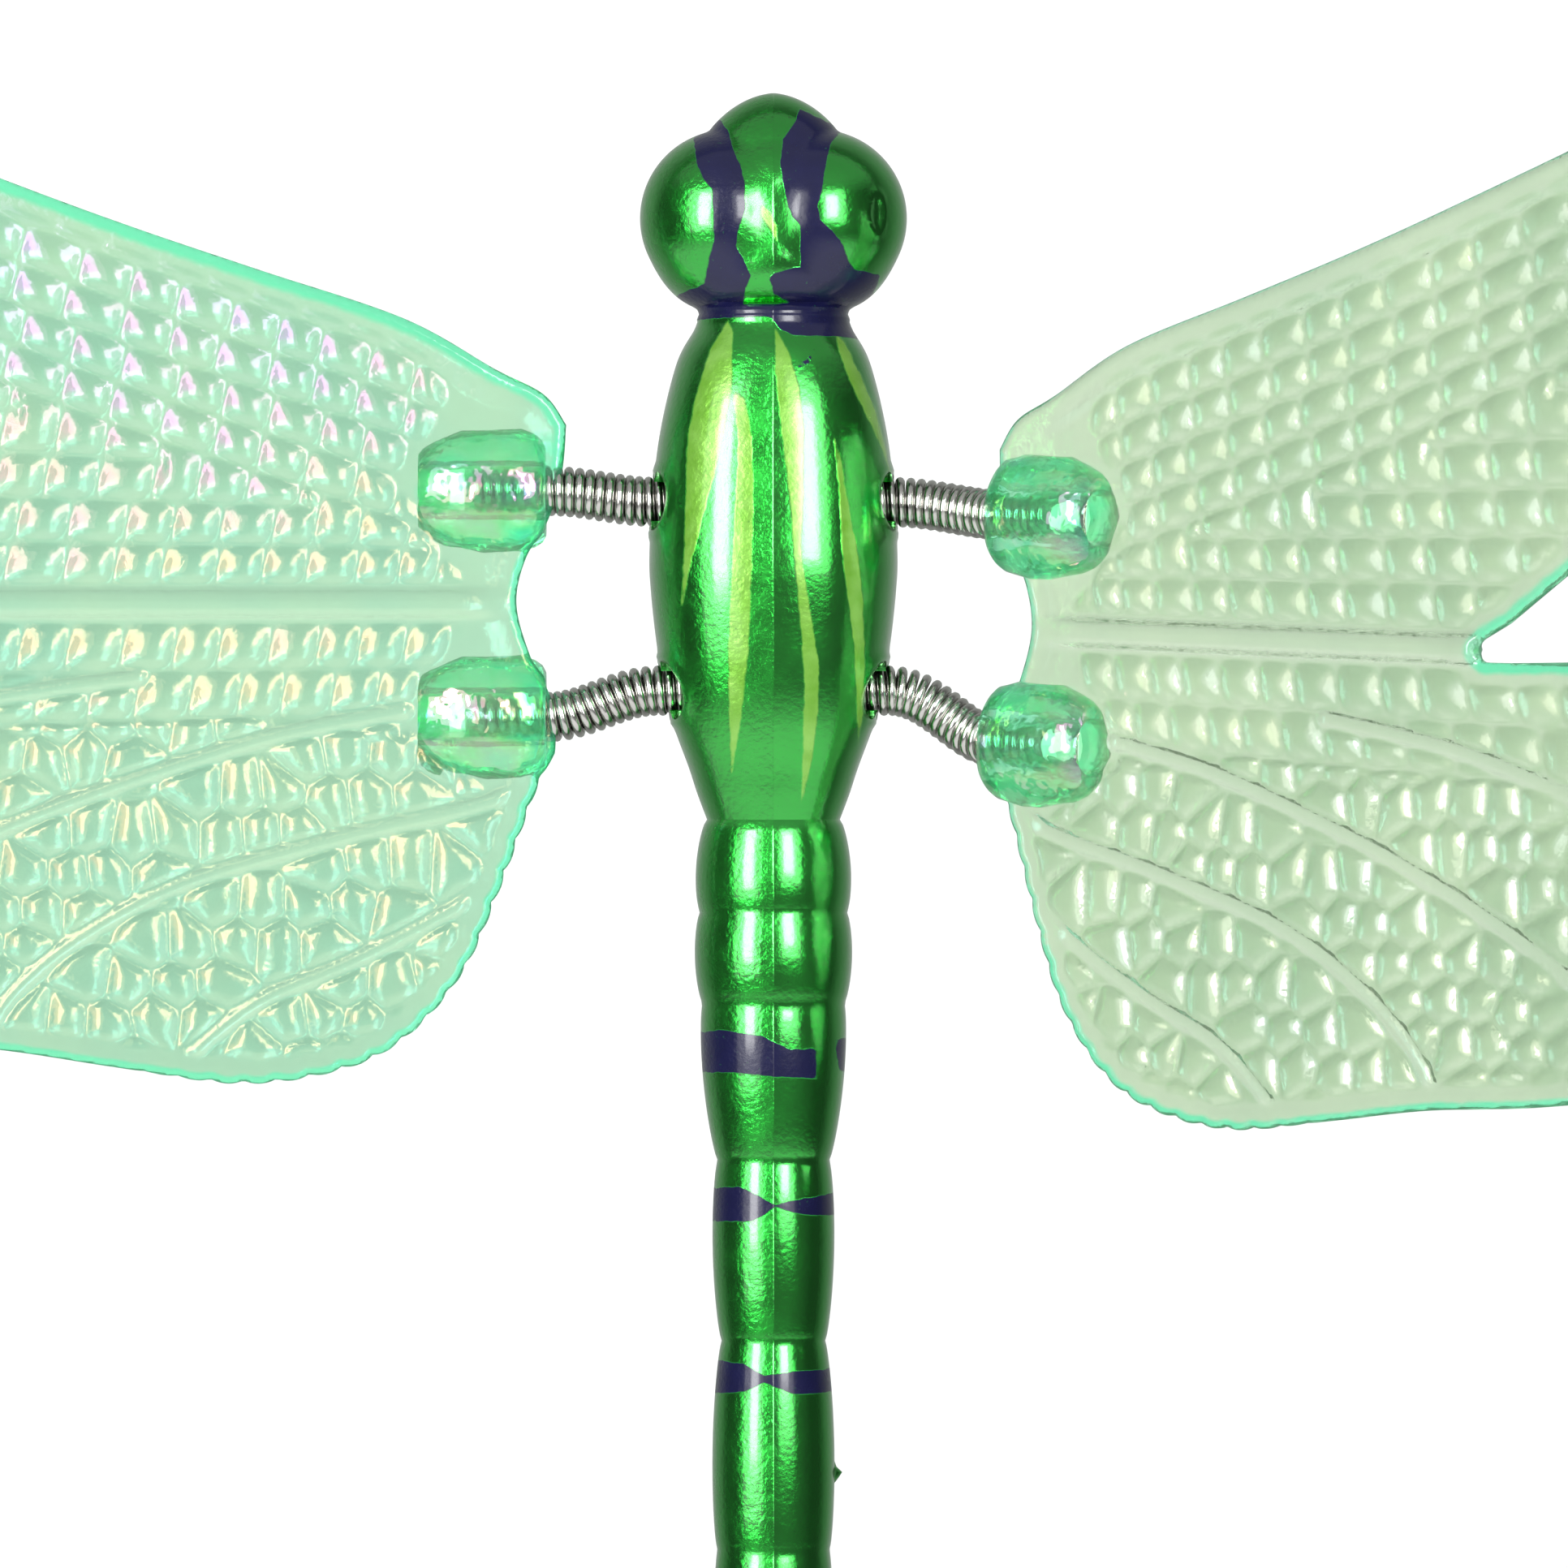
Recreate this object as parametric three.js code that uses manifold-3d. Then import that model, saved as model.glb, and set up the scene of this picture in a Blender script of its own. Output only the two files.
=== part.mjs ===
// Garden dragonfly with two wing mouldings that bob on coil springs.
// Millimetres. +Z is up, out of the dragonfly's back; +Y is towards its head; +X is its right side.
// The origin is the centre of the stake socket's mouth, under the thorax.

import * as THREE from 'three';
import { mergeVertices } from 'three/addons/utils/BufferGeometryUtils.js';
import Module from 'manifold-3d';

const wasm = await Module();
wasm.setup();

// ---- Driving dimensions ----

const BODY_AXIS_Z = 15;          // the body's centre line above the socket's mouth
const BODY_HEIGHT_RATIO = 0.95;  // the body is slightly flatter than it is wide
const WALL = 1.6;                // moulded wall of the half shells
const CLEARANCE = 0.3;           // gap between pieces that touch
const BODY_SIDES = 20;           // facets round the body

// Thorax outline from the waist to the neck: distance along Y, half width.
const THORAX_OUTLINE = [
  [-22, 6.56], [-19.5, 7.5], [-16.9, 8.35], [-12, 10.1], [-6.9, 11.2], [0, 12.05],
  [5.2, 12.2], [14.8, 11.4], [22.8, 9.6], [26.4, 7.75], [28, 7.4],
];

// Abdomen segments from the waist to the tail: where each ends, its groove's half width and its swell.
const ABDOMEN_SEGMENTS = [
  { end: -31.1, groove: 7.2, swell: 0.75 },
  { end: -40.1, groove: 6.96, swell: 0.68 },
  { end: -55.6, groove: 5.48, swell: 0.7 },
  { end: -73.4, groove: 5.08, swell: 0.72 },
  { end: -94, groove: 5.5, swell: 0.72 },
  { end: -115, groove: 4.9, swell: 0.6 },
  { end: -135, groove: 4.3, swell: 0.6 },
];
const TAIL_TIP_Y = -155;
const SWELL_FULLNESS = 0.6;      // under 1 keeps the grooves narrow and the segments full

const EYE = { x: 4.4, y: 37.2, z: 1, radius: 8.75, height: 8.2 };
const SNOUT = { y: 41.4, halfWidth: 8.1, length: 8.2, height: 7 };
const NECK_Y = 31;               // where the thorax tube ends inside the head

const SPRING_HOLE_Y = 9.3;       // the holes lie this far either side of the origin
const SPRING = { radius: 2.5, wire: 0.82, pitch: 1.1, innerX: 7.4, flexX: 11.4, inLug: 7.2 };
const BORE_RADIUS = 2.86;        // holes in the shells and lugs that take a spring
const BOSS = { radius: 4.3, innerX: 7 };
const MOUTH = { rise: 4.2, innerX: 8.9 };   // each hole's mouth reaches up the skin by this much
const CORE = { radius: 1.15, collarRadius: 2.5, collarHalf: 6.9, half: 10.6 };
const PLUG = { shankRadius: 1.1, shankLength: 2.4, headRadius: 2.4, headLength: 1.8, hole: 0.6 };

const SOCKET = { radius: 5, bore: 3.4, flangeRadius: 7.5, flange: 2.2, depth: 17, top: 19 };

// Wing moulding, measured from the mouth line of its two spring lugs: u outwards, v towards the head.
const LUG_PITCH = 22.3;
const LUG = { length: 12.6, halfWidth: 6.1, halfHeight: 4.3 };
const PLATE = { low: -2.3, thickness: 1.6 };
const RIB = { width: 2.4, proud: 0.45 };
const LEADING_EDGE = [
  [-2, 17.6], [0.2, 20.6], [5, 23.1], [14, 28.1], [28.3, 32.9], [41, 37.2], [54, 42],
  [75, 50.2], [98, 59.6], [118, 66.6], [127, 67.6], [132.4, 63.6],
];
const FORE_TRAILING_EDGE = [[132.4, 63.6], [131, 56.4], [119, 42.6], [97, 27.6], [74, 11.2], [62, 2.6]];
const NOTCH = { u: 58.4, radius: 1.2 };
const HIND_LEADING_EDGE = [[62, -1.1], [84, -0.6], [104, -3.2], [117.6, -11]];
const HIND_TRAILING_EDGE = [
  [117.6, -11], [119.8, -20], [111, -30.6], [92, -38.6], [70, -42.4], [54, -43.9], [42, -45.7],
  [30, -47.3], [20, -45.9], [13.6, -42.6], [8.2, -36.4], [4.6, -28.4], [1, -18.6], [-1, -14.6],
];
const ROOT_EDGE = [[-1, -14.6], [-0.6, -9.6], [1.6, -5], [2.9, 0], [2, 4.4], [-0.2, 8.2], [-1.6, 13], [-2, 17.6]];
const EDGE_STEPS = 3;            // points per stretch of a sampled edge

// How each wing stands at rest. The left moulding is the right one turned over.
const LEFT_WING = { x: -22.4, y: -0.75, z: 0 };
const RIGHT_WING = { x: 22.3, y: -3.3, z: 4.2, raised: 42, swept: 2.5 };

// ---- Materials ----

const finish = (color, roughness, metalness) => new THREE.MeshStandardMaterial({ color, roughness, metalness });
const metallisedGreen = finish(0x0c8f1e, 0.22, 0.85);
const springSteel = finish(0xb9bab4, 0.25, 1);
const clearGreen = finish(0xb9e6c4, 0.12, 0);
clearGreen.transparent = true;
clearGreen.opacity = 0.6;
const blackPlastic = finish(0x26302a, 0.5, 0);
const whitePlastic = finish(0xd8ded8, 0.4, 0);

// ---- Joining and cutting ----

// A closed geometry as a solid: shared vertices merged, and the slivers at a lathe's poles dropped.
function solid(geometry) {
  const bare = geometry.clone();
  for (const name of Object.keys(bare.attributes)) {
    if (name !== 'position') bare.deleteAttribute(name);
  }
  const merged = mergeVertices(bare, 1e-4);
  const source = merged.index.array;
  const triangles = [];
  for (let i = 0; i < source.length; i += 3) {
    const [a, b, c] = [source[i], source[i + 1], source[i + 2]];
    if (a !== b && b !== c && c !== a) triangles.push(a, b, c);
  }
  return new wasm.Manifold(new wasm.Mesh({
    numProp: 3,
    vertProperties: new Float32Array(merged.attributes.position.array),
    triVerts: new Uint32Array(triangles),
  }));
}

function geometryOf(manifold) {
  const mesh = manifold.getMesh();
  const geometry = new THREE.BufferGeometry();
  geometry.setAttribute('position', new THREE.BufferAttribute(mesh.vertProperties, 3));
  geometry.setIndex(new THREE.BufferAttribute(mesh.triVerts, 1));
  return geometry;
}

const group = new THREE.Group();

function addPiece(parent, name, manifold, material) {
  const mesh = new THREE.Mesh(geometryOf(manifold), material);
  mesh.name = name;
  parent.add(mesh);
  return mesh;
}

// ---- Simple shapes ----

// A turned shape about Y. Its outline holds [radius, y] from the low end to the high end.
function turned(outline, sides) {
  return new THREE.LatheGeometry(outline.map(([radius, y]) => new THREE.Vector2(radius, y)), sides);
}

function rod(radius, low, high, sides = 16) {
  return turned([[0, low], [radius, low], [radius, high], [0, high]], sides);
}

const alongX = (geometry) => geometry.rotateZ(-Math.PI / 2);
const alongZ = (geometry) => geometry.rotateX(Math.PI / 2);

function ellipsoid(radiusX, radiusY, radiusZ, x, y, z) {
  const unit = new THREE.SphereGeometry(1, 14, 10).rotateX(Math.PI / 2);
  return unit.scale(radiusX, radiusY, radiusZ).translate(x, y, z);
}

function block(low, high) {
  const size = new THREE.Vector3().subVectors(high, low);
  const middle = new THREE.Vector3().addVectors(low, high).multiplyScalar(0.5);
  return new THREE.BoxGeometry(size.x, size.y, size.z).translate(middle.x, middle.y, middle.z);
}

// ---- Body: two hollow half shells with their seam on the centre plane ----

// Half widths along the body, from the tail tip to the neck, as [half width, y].
function bodyOutline(inset, stepsPerSegment, thoraxSteps) {
  const outline = [];
  let start = { y: THORAX_OUTLINE[0][0], groove: THORAX_OUTLINE[0][1] };
  for (const segment of ABDOMEN_SEGMENTS) {
    for (let i = 0; i < stepsPerSegment; i++) {
      const t = i / stepsPerSegment;
      const swell = segment.swell * Math.sin(Math.PI * t) ** SWELL_FULLNESS;
      const halfWidth = THREE.MathUtils.lerp(start.groove, segment.groove, t) + swell;
      outline.unshift([halfWidth - inset, THREE.MathUtils.lerp(start.y, segment.end, t)]);
    }
    start = { y: segment.end, groove: segment.groove };
  }
  const tailLength = start.y - (TAIL_TIP_Y + inset);
  const tailSteps = stepsPerSegment;
  for (let i = 0; i <= tailSteps; i++) {
    const angle = (Math.PI / 2) * (i / tailSteps);
    const radius = i === tailSteps ? 0 : (start.groove - inset) * Math.cos(angle) ** 0.7;
    outline.unshift([radius, start.y - tailLength * Math.sin(angle)]);
  }
  const thorax = new THREE.SplineCurve(THORAX_OUTLINE.map(([y, halfWidth]) => new THREE.Vector2(halfWidth, y)));
  for (const point of thorax.getPoints(thoraxSteps).slice(1)) outline.push([point.x - inset, point.y]);
  const neck = THORAX_OUTLINE.at(-1)[1] - inset;
  outline.push([neck * 0.8, NECK_Y - 0.5], [0, NECK_Y]);
  return outline;
}

function bodySolid(inset, stepsPerSegment, thoraxSteps) {
  const tube = turned(bodyOutline(inset, stepsPerSegment, thoraxSteps), BODY_SIDES);
  let body = solid(tube.scale(1, 1, BODY_HEIGHT_RATIO));
  for (const side of [-1, 1]) {
    const radius = EYE.radius - inset;
    body = body.add(solid(ellipsoid(radius, radius, EYE.height - inset, side * EYE.x, EYE.y, EYE.z)));
  }
  return body.add(solid(ellipsoid(
    SNOUT.halfWidth - inset, SNOUT.length - inset, SNOUT.height - inset, 0, SNOUT.y, 0)));
}

// What a half shell is cut from: the hollow body with a tube behind each spring hole and a round cut for the socket.
function hollowBody() {
  const outer = bodySolid(0, 4, 14);
  const hollow = bodySolid(WALL, 2, 7);
  let shell = outer.subtract(hollow);
  for (const y of [-SPRING_HOLE_Y, SPRING_HOLE_Y]) {
    for (const side of [-1, 1]) {
      const tube = alongX(rod(BOSS.radius, BOSS.innerX, SPRING.flexX)).scale(side, 1, 1).translate(0, y, 0);
      if (side < 0) tube.index.array.reverse();
      shell = shell.add(solid(tube).intersect(outer));
      const mouth = alongX(rod(BORE_RADIUS, MOUTH.innerX, 20)).scale(side, 1, 1).translate(0, y, MOUTH.rise);
      if (side < 0) mouth.index.array.reverse();
      shell = shell.subtract(solid(mouth));
    }
    shell = shell.subtract(solid(alongX(rod(BORE_RADIUS, -20, 20)).translate(0, y, 0)));
  }
  const socketCut = alongZ(rod(SOCKET.radius + CLEARANCE, -BODY_AXIS_Z, SOCKET.top - BODY_AXIS_Z + CLEARANCE));
  return shell.subtract(solid(socketCut));
}

function addBodyShells() {
  const shell = hollowBody();
  const body = new THREE.Group();
  body.position.z = BODY_AXIS_Z;
  group.add(body);
  const seam = CLEARANCE / 2;
  for (const [name, low, high] of [['body_shell_left', -40, -seam], ['body_shell_right', seam, 40]]) {
    const half = block(new THREE.Vector3(low, -200, -40), new THREE.Vector3(high, 200, 40));
    addPiece(body, name, shell.intersect(solid(half)), metallisedGreen);
  }
}

// ---- Stake socket: a flanged tube pushed up into the belly ----

function addStakeSocket() {
  const outline = [
    [SOCKET.bore, 0], [SOCKET.flangeRadius, 0], [SOCKET.flangeRadius, SOCKET.flange],
    [SOCKET.radius, SOCKET.flange], [SOCKET.radius, SOCKET.top], [0, SOCKET.top],
    [0, SOCKET.depth], [SOCKET.bore, SOCKET.depth], [SOCKET.bore, 0],
  ];
  const tube = solid(alongZ(turned(outline, 20)));
  addPiece(group, 'stake_socket', tube, blackPlastic);
}

// ---- Spring cores: a rod across the thorax that a pair of springs is pushed onto ----

function addSpringCore(name, y) {
  const outline = [
    [0, -CORE.half], [CORE.radius, -CORE.half], [CORE.radius, -CORE.collarHalf],
    [CORE.collarRadius, -CORE.collarHalf], [CORE.collarRadius, CORE.collarHalf],
    [CORE.radius, CORE.collarHalf], [CORE.radius, CORE.half], [0, CORE.half],
  ];
  const core = addPiece(group, name, solid(alongX(turned(outline, 12))), whitePlastic);
  core.position.set(0, y, BODY_AXIS_Z);
}

// ---- Wing moulding: a plate with a fore wing and a hind wing, ribs and two spring lugs ----

const vectors = (points) => points.map(([u, v]) => new THREE.Vector2(u, v));

function sampled(points) {
  return new THREE.SplineCurve(vectors(points)).getPoints((points.length - 1) * EDGE_STEPS);
}

function plateOutline() {
  const notch = new THREE.EllipseCurve(
    NOTCH.u + NOTCH.radius, 0, NOTCH.radius, NOTCH.radius, Math.PI * 0.6, Math.PI * 1.4).getPoints(4);
  return [
    ...sampled(LEADING_EDGE), ...sampled(FORE_TRAILING_EDGE), ...notch,
    ...sampled(HIND_LEADING_EDGE), ...sampled(HIND_TRAILING_EDGE), ...sampled(ROOT_EDGE),
  ].filter((point, i, all) => point.distanceTo(all[(i + 1) % all.length]) > 0.05);
}

function extruded(points, low, thickness) {
  const geometry = new THREE.ExtrudeGeometry(new THREE.Shape(points), { depth: thickness, bevelEnabled: false });
  return geometry.translate(0, 0, low);
}

// The thick band that stiffens the fore wing's leading edge.
function leadingRib() {
  const edge = sampled(LEADING_EDGE.slice(1, -2));
  const inner = edge.map((point) => point.clone().add(new THREE.Vector2(0.35, -0.94).multiplyScalar(RIB.width)));
  return extruded([...edge, ...inner.reverse()], PLATE.low - RIB.proud, PLATE.thickness + 2 * RIB.proud);
}

function middleRib() {
  const half = RIB.width / 2;
  const points = vectors([[3.2, -half], [NOTCH.u, -half], [NOTCH.u, half], [3.2, half]]);
  return extruded(points, PLATE.low - RIB.proud, PLATE.thickness + 2 * RIB.proud);
}

// A lug is a barrel along the spring's axis, with its far end rounded off.
function lug(v) {
  const { length, halfWidth, halfHeight } = LUG;
  const outline = [[0, 0], [0.86, 0], [0.97, 1.4], [1, 4.5], [0.95, 8.6], [0.8, 11.4], [0.6, length], [0, length]];
  return alongX(turned(outline, 14)).scale(1, halfWidth, halfHeight).translate(0, v, 0);
}

function wingSolid() {
  let wing = solid(extruded(plateOutline(), PLATE.low, PLATE.thickness));
  wing = wing.add(solid(leadingRib())).add(solid(middleRib()));
  for (const v of [-LUG_PITCH / 2, LUG_PITCH / 2]) {
    wing = wing.add(solid(lug(v)));
    const bore = alongX(rod(BORE_RADIUS, -5, LUG.length + 1, 14)).translate(0, v, 0);
    wing = wing.subtract(solid(bore));
  }
  return wing;
}

function wingFrames() {
  const left = new THREE.Group();
  left.position.set(LEFT_WING.x, LEFT_WING.y, BODY_AXIS_Z + LEFT_WING.z);
  left.rotation.set(0, Math.PI, 0);
  const right = new THREE.Group();
  right.position.set(RIGHT_WING.x, RIGHT_WING.y, BODY_AXIS_Z + RIGHT_WING.z);
  right.rotation.order = 'YZX';
  const degrees = THREE.MathUtils.degToRad;
  right.rotation.set(0, -degrees(RIGHT_WING.raised), -degrees(RIGHT_WING.swept));
  return { left, right };
}

// ---- Springs: from the spring core, out of the hole, across the gap and into the lug ----

// A helix round a centre line.
class CoilCurve extends THREE.Curve {
  constructor(centreLine, radius, turns) {
    super();
    Object.assign(this, { centreLine, radius, turns });
  }

  getPoint(t, target = new THREE.Vector3()) {
    const tangent = this.centreLine.getTangentAt(t);
    const across = new THREE.Vector3(0, 1, 0).addScaledVector(tangent, -tangent.y).normalize();
    const third = new THREE.Vector3().crossVectors(tangent, across);
    const angle = 2 * Math.PI * this.turns * t;
    return target.copy(this.centreLine.getPointAt(t))
      .addScaledVector(across, this.radius * Math.cos(angle))
      .addScaledVector(third, this.radius * Math.sin(angle));
  }
}

function springCentreLine(side, holeY, wingFrame, lugV) {
  wingFrame.updateMatrixWorld(true);
  const hole = new THREE.Vector3(side * SPRING.flexX, holeY, BODY_AXIS_Z);
  const start = new THREE.Vector3(side * SPRING.innerX, holeY, BODY_AXIS_Z);
  const mouth = new THREE.Vector3(0, lugV, 0).applyMatrix4(wingFrame.matrixWorld);
  const end = new THREE.Vector3(SPRING.inLug, lugV, 0).applyMatrix4(wingFrame.matrixWorld);
  const reach = hole.distanceTo(mouth) * 0.36;
  const outOfHole = hole.clone().add(new THREE.Vector3(side * reach, 0, 0));
  const intoLug = mouth.clone().addScaledVector(end.clone().sub(mouth).normalize(), -reach);
  const path = new THREE.CurvePath();
  path.add(new THREE.LineCurve3(start, hole));
  path.add(new THREE.CubicBezierCurve3(hole, outOfHole, intoLug, mouth));
  path.add(new THREE.LineCurve3(mouth, end));
  return path;
}

function addSpring(name, centreLine) {
  const turns = Math.round(centreLine.getLength() / SPRING.pitch);
  const wireRadius = SPRING.wire / 2;
  const coil = new CoilCurve(centreLine, SPRING.radius - wireRadius, turns);
  const section = new THREE.Shape(new THREE.EllipseCurve(0, 0, wireRadius, wireRadius).getPoints(4).slice(0, 4));
  const wire = new THREE.ExtrudeGeometry(section, { steps: turns * 8, extrudePath: coil, bevelEnabled: false });
  addPiece(group, name, solid(wire), springSteel);
}

// ---- Spring plugs: flared eyelets that wedge the springs' outer ends in the lugs ----

function addSpringPlug(name, frame, lugV) {
  const { shankRadius, shankLength, headRadius, headLength, hole } = PLUG;
  const outline = [
    [hole, -shankLength], [shankRadius, -shankLength], [shankRadius, 0], [headRadius, 0.4],
    [headRadius, headLength], [hole, headLength], [hole, -shankLength],
  ];
  const plug = addPiece(frame, name, solid(alongX(turned(outline, 12))), whitePlastic);
  plug.position.set(SPRING.inLug + CLEARANCE, lugV, 0);
}

// ---- Assembly ----

addBodyShells();
addStakeSocket();
addSpringCore('spring_core_front', SPRING_HOLE_Y);
addSpringCore('spring_core_rear', -SPRING_HOLE_Y);

const wing = wingSolid();
for (const [hand, frame] of Object.entries(wingFrames())) {
  group.add(frame);
  addPiece(frame, `wing_${hand}`, wing, clearGreen);
  const side = hand === 'left' ? -1 : 1;
  for (const [place, sign] of [['front', 1], ['rear', -1]]) {
    const lugV = sign * LUG_PITCH / 2;
    const line = springCentreLine(side, sign * SPRING_HOLE_Y, frame, lugV);
    addSpring(`spring_${place}_${hand}`, line);
    addSpringPlug(`spring_plug_${place}_${hand}`, frame, lugV);
  }
}

export default group;
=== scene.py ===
"""The garden dragonfly's looks: metallised body, painted marks, steel springs and clear ribbed wings."""
import math

import bmesh
import bpy
import numpy as np
from mathutils import Matrix, Vector
from mathutils.geometry import delaunay_2d_cdt


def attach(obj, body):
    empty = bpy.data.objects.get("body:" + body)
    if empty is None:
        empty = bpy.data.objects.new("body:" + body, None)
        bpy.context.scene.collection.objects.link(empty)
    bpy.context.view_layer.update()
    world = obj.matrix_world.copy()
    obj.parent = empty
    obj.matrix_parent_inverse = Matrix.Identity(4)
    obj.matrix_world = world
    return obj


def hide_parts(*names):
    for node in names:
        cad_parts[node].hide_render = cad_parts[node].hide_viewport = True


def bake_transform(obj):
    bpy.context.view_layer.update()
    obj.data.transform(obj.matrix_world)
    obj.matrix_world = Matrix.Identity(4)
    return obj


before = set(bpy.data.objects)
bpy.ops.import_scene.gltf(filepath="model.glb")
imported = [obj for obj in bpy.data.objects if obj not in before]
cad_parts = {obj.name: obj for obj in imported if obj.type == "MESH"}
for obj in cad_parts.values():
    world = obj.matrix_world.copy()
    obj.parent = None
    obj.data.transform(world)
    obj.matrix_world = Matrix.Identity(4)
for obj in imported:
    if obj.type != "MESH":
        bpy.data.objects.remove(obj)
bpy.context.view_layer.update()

MM = 0.001

# ---- Dimensions shared with the CAD part, in millimetres ----

BODY_AXIS_Z = 15
BODY_HEIGHT_RATIO = 0.95
WALL = 1.6
THORAX_OUTLINE = [
    (-22, 6.56), (-19.5, 7.5), (-16.9, 8.35), (-12, 10.1), (-6.9, 11.2), (0, 12.05),
    (5.2, 12.2), (14.8, 11.4), (22.8, 9.6), (26.4, 7.75), (28, 7.4),
]
# Where each abdomen segment ends, its groove's half width and its swell.
ABDOMEN_SEGMENTS = [
    (-31.1, 7.2, 0.75), (-40.1, 6.96, 0.68), (-55.6, 5.48, 0.7), (-73.4, 5.08, 0.72),
    (-94, 5.5, 0.72), (-115, 4.9, 0.6), (-135, 4.3, 0.6),
]
TAIL_TIP_Y = -155
SWELL_FULLNESS = 0.6
EYE = {"x": 4.4, "y": 37.2, "z": 1, "radius": 8.75, "height": 8.2}
SNOUT = {"y": 41.4, "half_width": 8.1, "length": 8.2, "height": 7, "power": 1.75}
NECK_Y = 31

SPRING_HOLE_Y = 9.3
SPRING = {"radius": 2.5, "wire": 0.95, "pitch": 1.0, "inner_x": 7.4, "flex_x": 11.4, "in_lug": 7.2}
BORE_RADIUS = 2.86
MOUTH = {"rise": 4.2, "inner_x": 8.9}
SOCKET = {"radius": 5, "bore": 3.4, "flange_radius": 7.5, "flange": 2.2, "depth": 17, "top": 19}

LUG_PITCH = 22.3
LUG = {"length": 12.6, "half_width": 6.1, "half_height": 4.3}
PLATE_MIDDLE = -1.5
RIB = {"width": 2.4, "proud": 0.45}
LEADING_EDGE = [
    (-2, 17.6), (0.2, 20.6), (5, 23.1), (14, 28.1), (28.3, 32.9), (41, 37.2), (54, 42),
    (75, 50.2), (98, 59.6), (118, 66.6), (127, 67.6), (132.4, 63.6),
]
FORE_TRAILING_EDGE = [(132.4, 63.6), (131, 56.4), (119, 42.6), (97, 27.6), (74, 11.2), (62, 2.6)]
NOTCH = {"u": 58.4, "radius": 1.2}
HIND_LEADING_EDGE = [(62, -1.1), (84, -0.6), (104, -3.2), (117.6, -11)]
HIND_TRAILING_EDGE = [
    (117.6, -11), (119.8, -20), (111, -30.6), (92, -38.6), (70, -42.4), (54, -43.9), (42, -45.7),
    (30, -47.3), (20, -45.9), (13.6, -42.6), (8.2, -36.4), (4.6, -28.4), (1, -18.6), (-1, -14.6),
]
ROOT_EDGE = [
    (-1, -14.6), (-0.6, -9.6), (1.6, -5), (2.9, 0), (2, 4.4), (-0.2, 8.2), (-1.6, 13), (-2, 17.6),
]
LEFT_WING = {"x": -22.4, "y": -0.75, "z": 0}
RIGHT_WING = {"x": 22.3, "y": -3.3, "z": 4.2, "raised": 42, "swept": 2.5}


# ---- Camera, floor and light ----

CAMERA_DISTANCE = 1.0      # from the camera to the body's centre line
PICTURE_WIDTH = 0.1546     # what the camera sees across at that distance
SENSOR = 36
FLOOR_Z = -0.26


def make_camera():
    data = bpy.data.cameras.new("camera")
    data.sensor_width = SENSOR
    data.lens = SENSOR * CAMERA_DISTANCE / PICTURE_WIDTH
    data.clip_start = 0.01
    data.clip_end = 20
    camera = bpy.data.objects.new("camera", data)
    camera.location = (0.00104, -0.0185, BODY_AXIS_Z * MM + CAMERA_DISTANCE)
    bpy.context.scene.collection.objects.link(camera)
    bpy.context.scene.camera = camera


def softbox(name, azimuth, tilt, distance, size_x, size_y, power):
    """A rectangular light, leaning from overhead by azimuth towards +X and by tilt towards the head."""
    data = bpy.data.lights.new(name, "AREA")
    data.shape = "RECTANGLE"
    data.size = size_x
    data.size_y = size_y
    data.energy = power
    light = bpy.data.objects.new(name, data)
    turn = Matrix.Rotation(math.radians(azimuth), 4, "Y") @ Matrix.Rotation(-math.radians(tilt), 4, "X")
    light.matrix_world = turn @ Matrix.Translation((0, 0, distance))
    light.visible_camera = False
    bpy.context.scene.collection.objects.link(light)


def map_range(tree, source, low, high, to_low, to_high):
    """Maps source from low..high to to_low..to_high, held at the ends."""
    node = tree.nodes.new("ShaderNodeMapRange")
    tree.links.new(source, node.inputs["Value"])
    for name, number in (("From Min", low), ("From Max", high), ("To Min", to_low), ("To Max", to_high)):
        node.inputs[name].default_value = number
    return node.outputs[0]


def make_world():
    world = bpy.data.worlds.new("studio")
    bpy.context.scene.world = world
    world.use_nodes = True
    tree = world.node_tree
    nodes, links = tree.nodes, tree.links
    nodes.clear()
    out = nodes.new("ShaderNodeOutputWorld")
    direction = nodes.new("ShaderNodeTexCoord")
    split = nodes.new("ShaderNodeSeparateXYZ")
    links.new(direction.outputs["Generated"], split.inputs[0])
    # The room is dim overhead, darker at the sides, and lighter towards the tail and the head.
    strength = map_range(tree, split.outputs["Z"], 0.9, 0.35, 0.32, 0.13)
    for low, high, gain in ((-0.35, -0.6, 1.3), (0.45, 0.7, 0.5)):
        total = nodes.new("ShaderNodeMath")
        total.operation = "ADD"
        links.new(strength, total.inputs[0])
        links.new(map_range(tree, split.outputs["Y"], low, high, 0.0, gain), total.inputs[1])
        strength = total.outputs[0]
    room = nodes.new("ShaderNodeBackground")
    links.new(strength, room.inputs["Strength"])
    backdrop = nodes.new("ShaderNodeBackground")
    backdrop.inputs["Color"].default_value = (0.93, 0.94, 0.95, 1)
    ray = nodes.new("ShaderNodeLightPath")
    mix = nodes.new("ShaderNodeMixShader")
    links.new(ray.outputs["Is Camera Ray"], mix.inputs["Fac"])
    links.new(room.outputs[0], mix.inputs[1])
    links.new(backdrop.outputs[0], mix.inputs[2])
    links.new(mix.outputs[0], out.inputs["Surface"])


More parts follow.
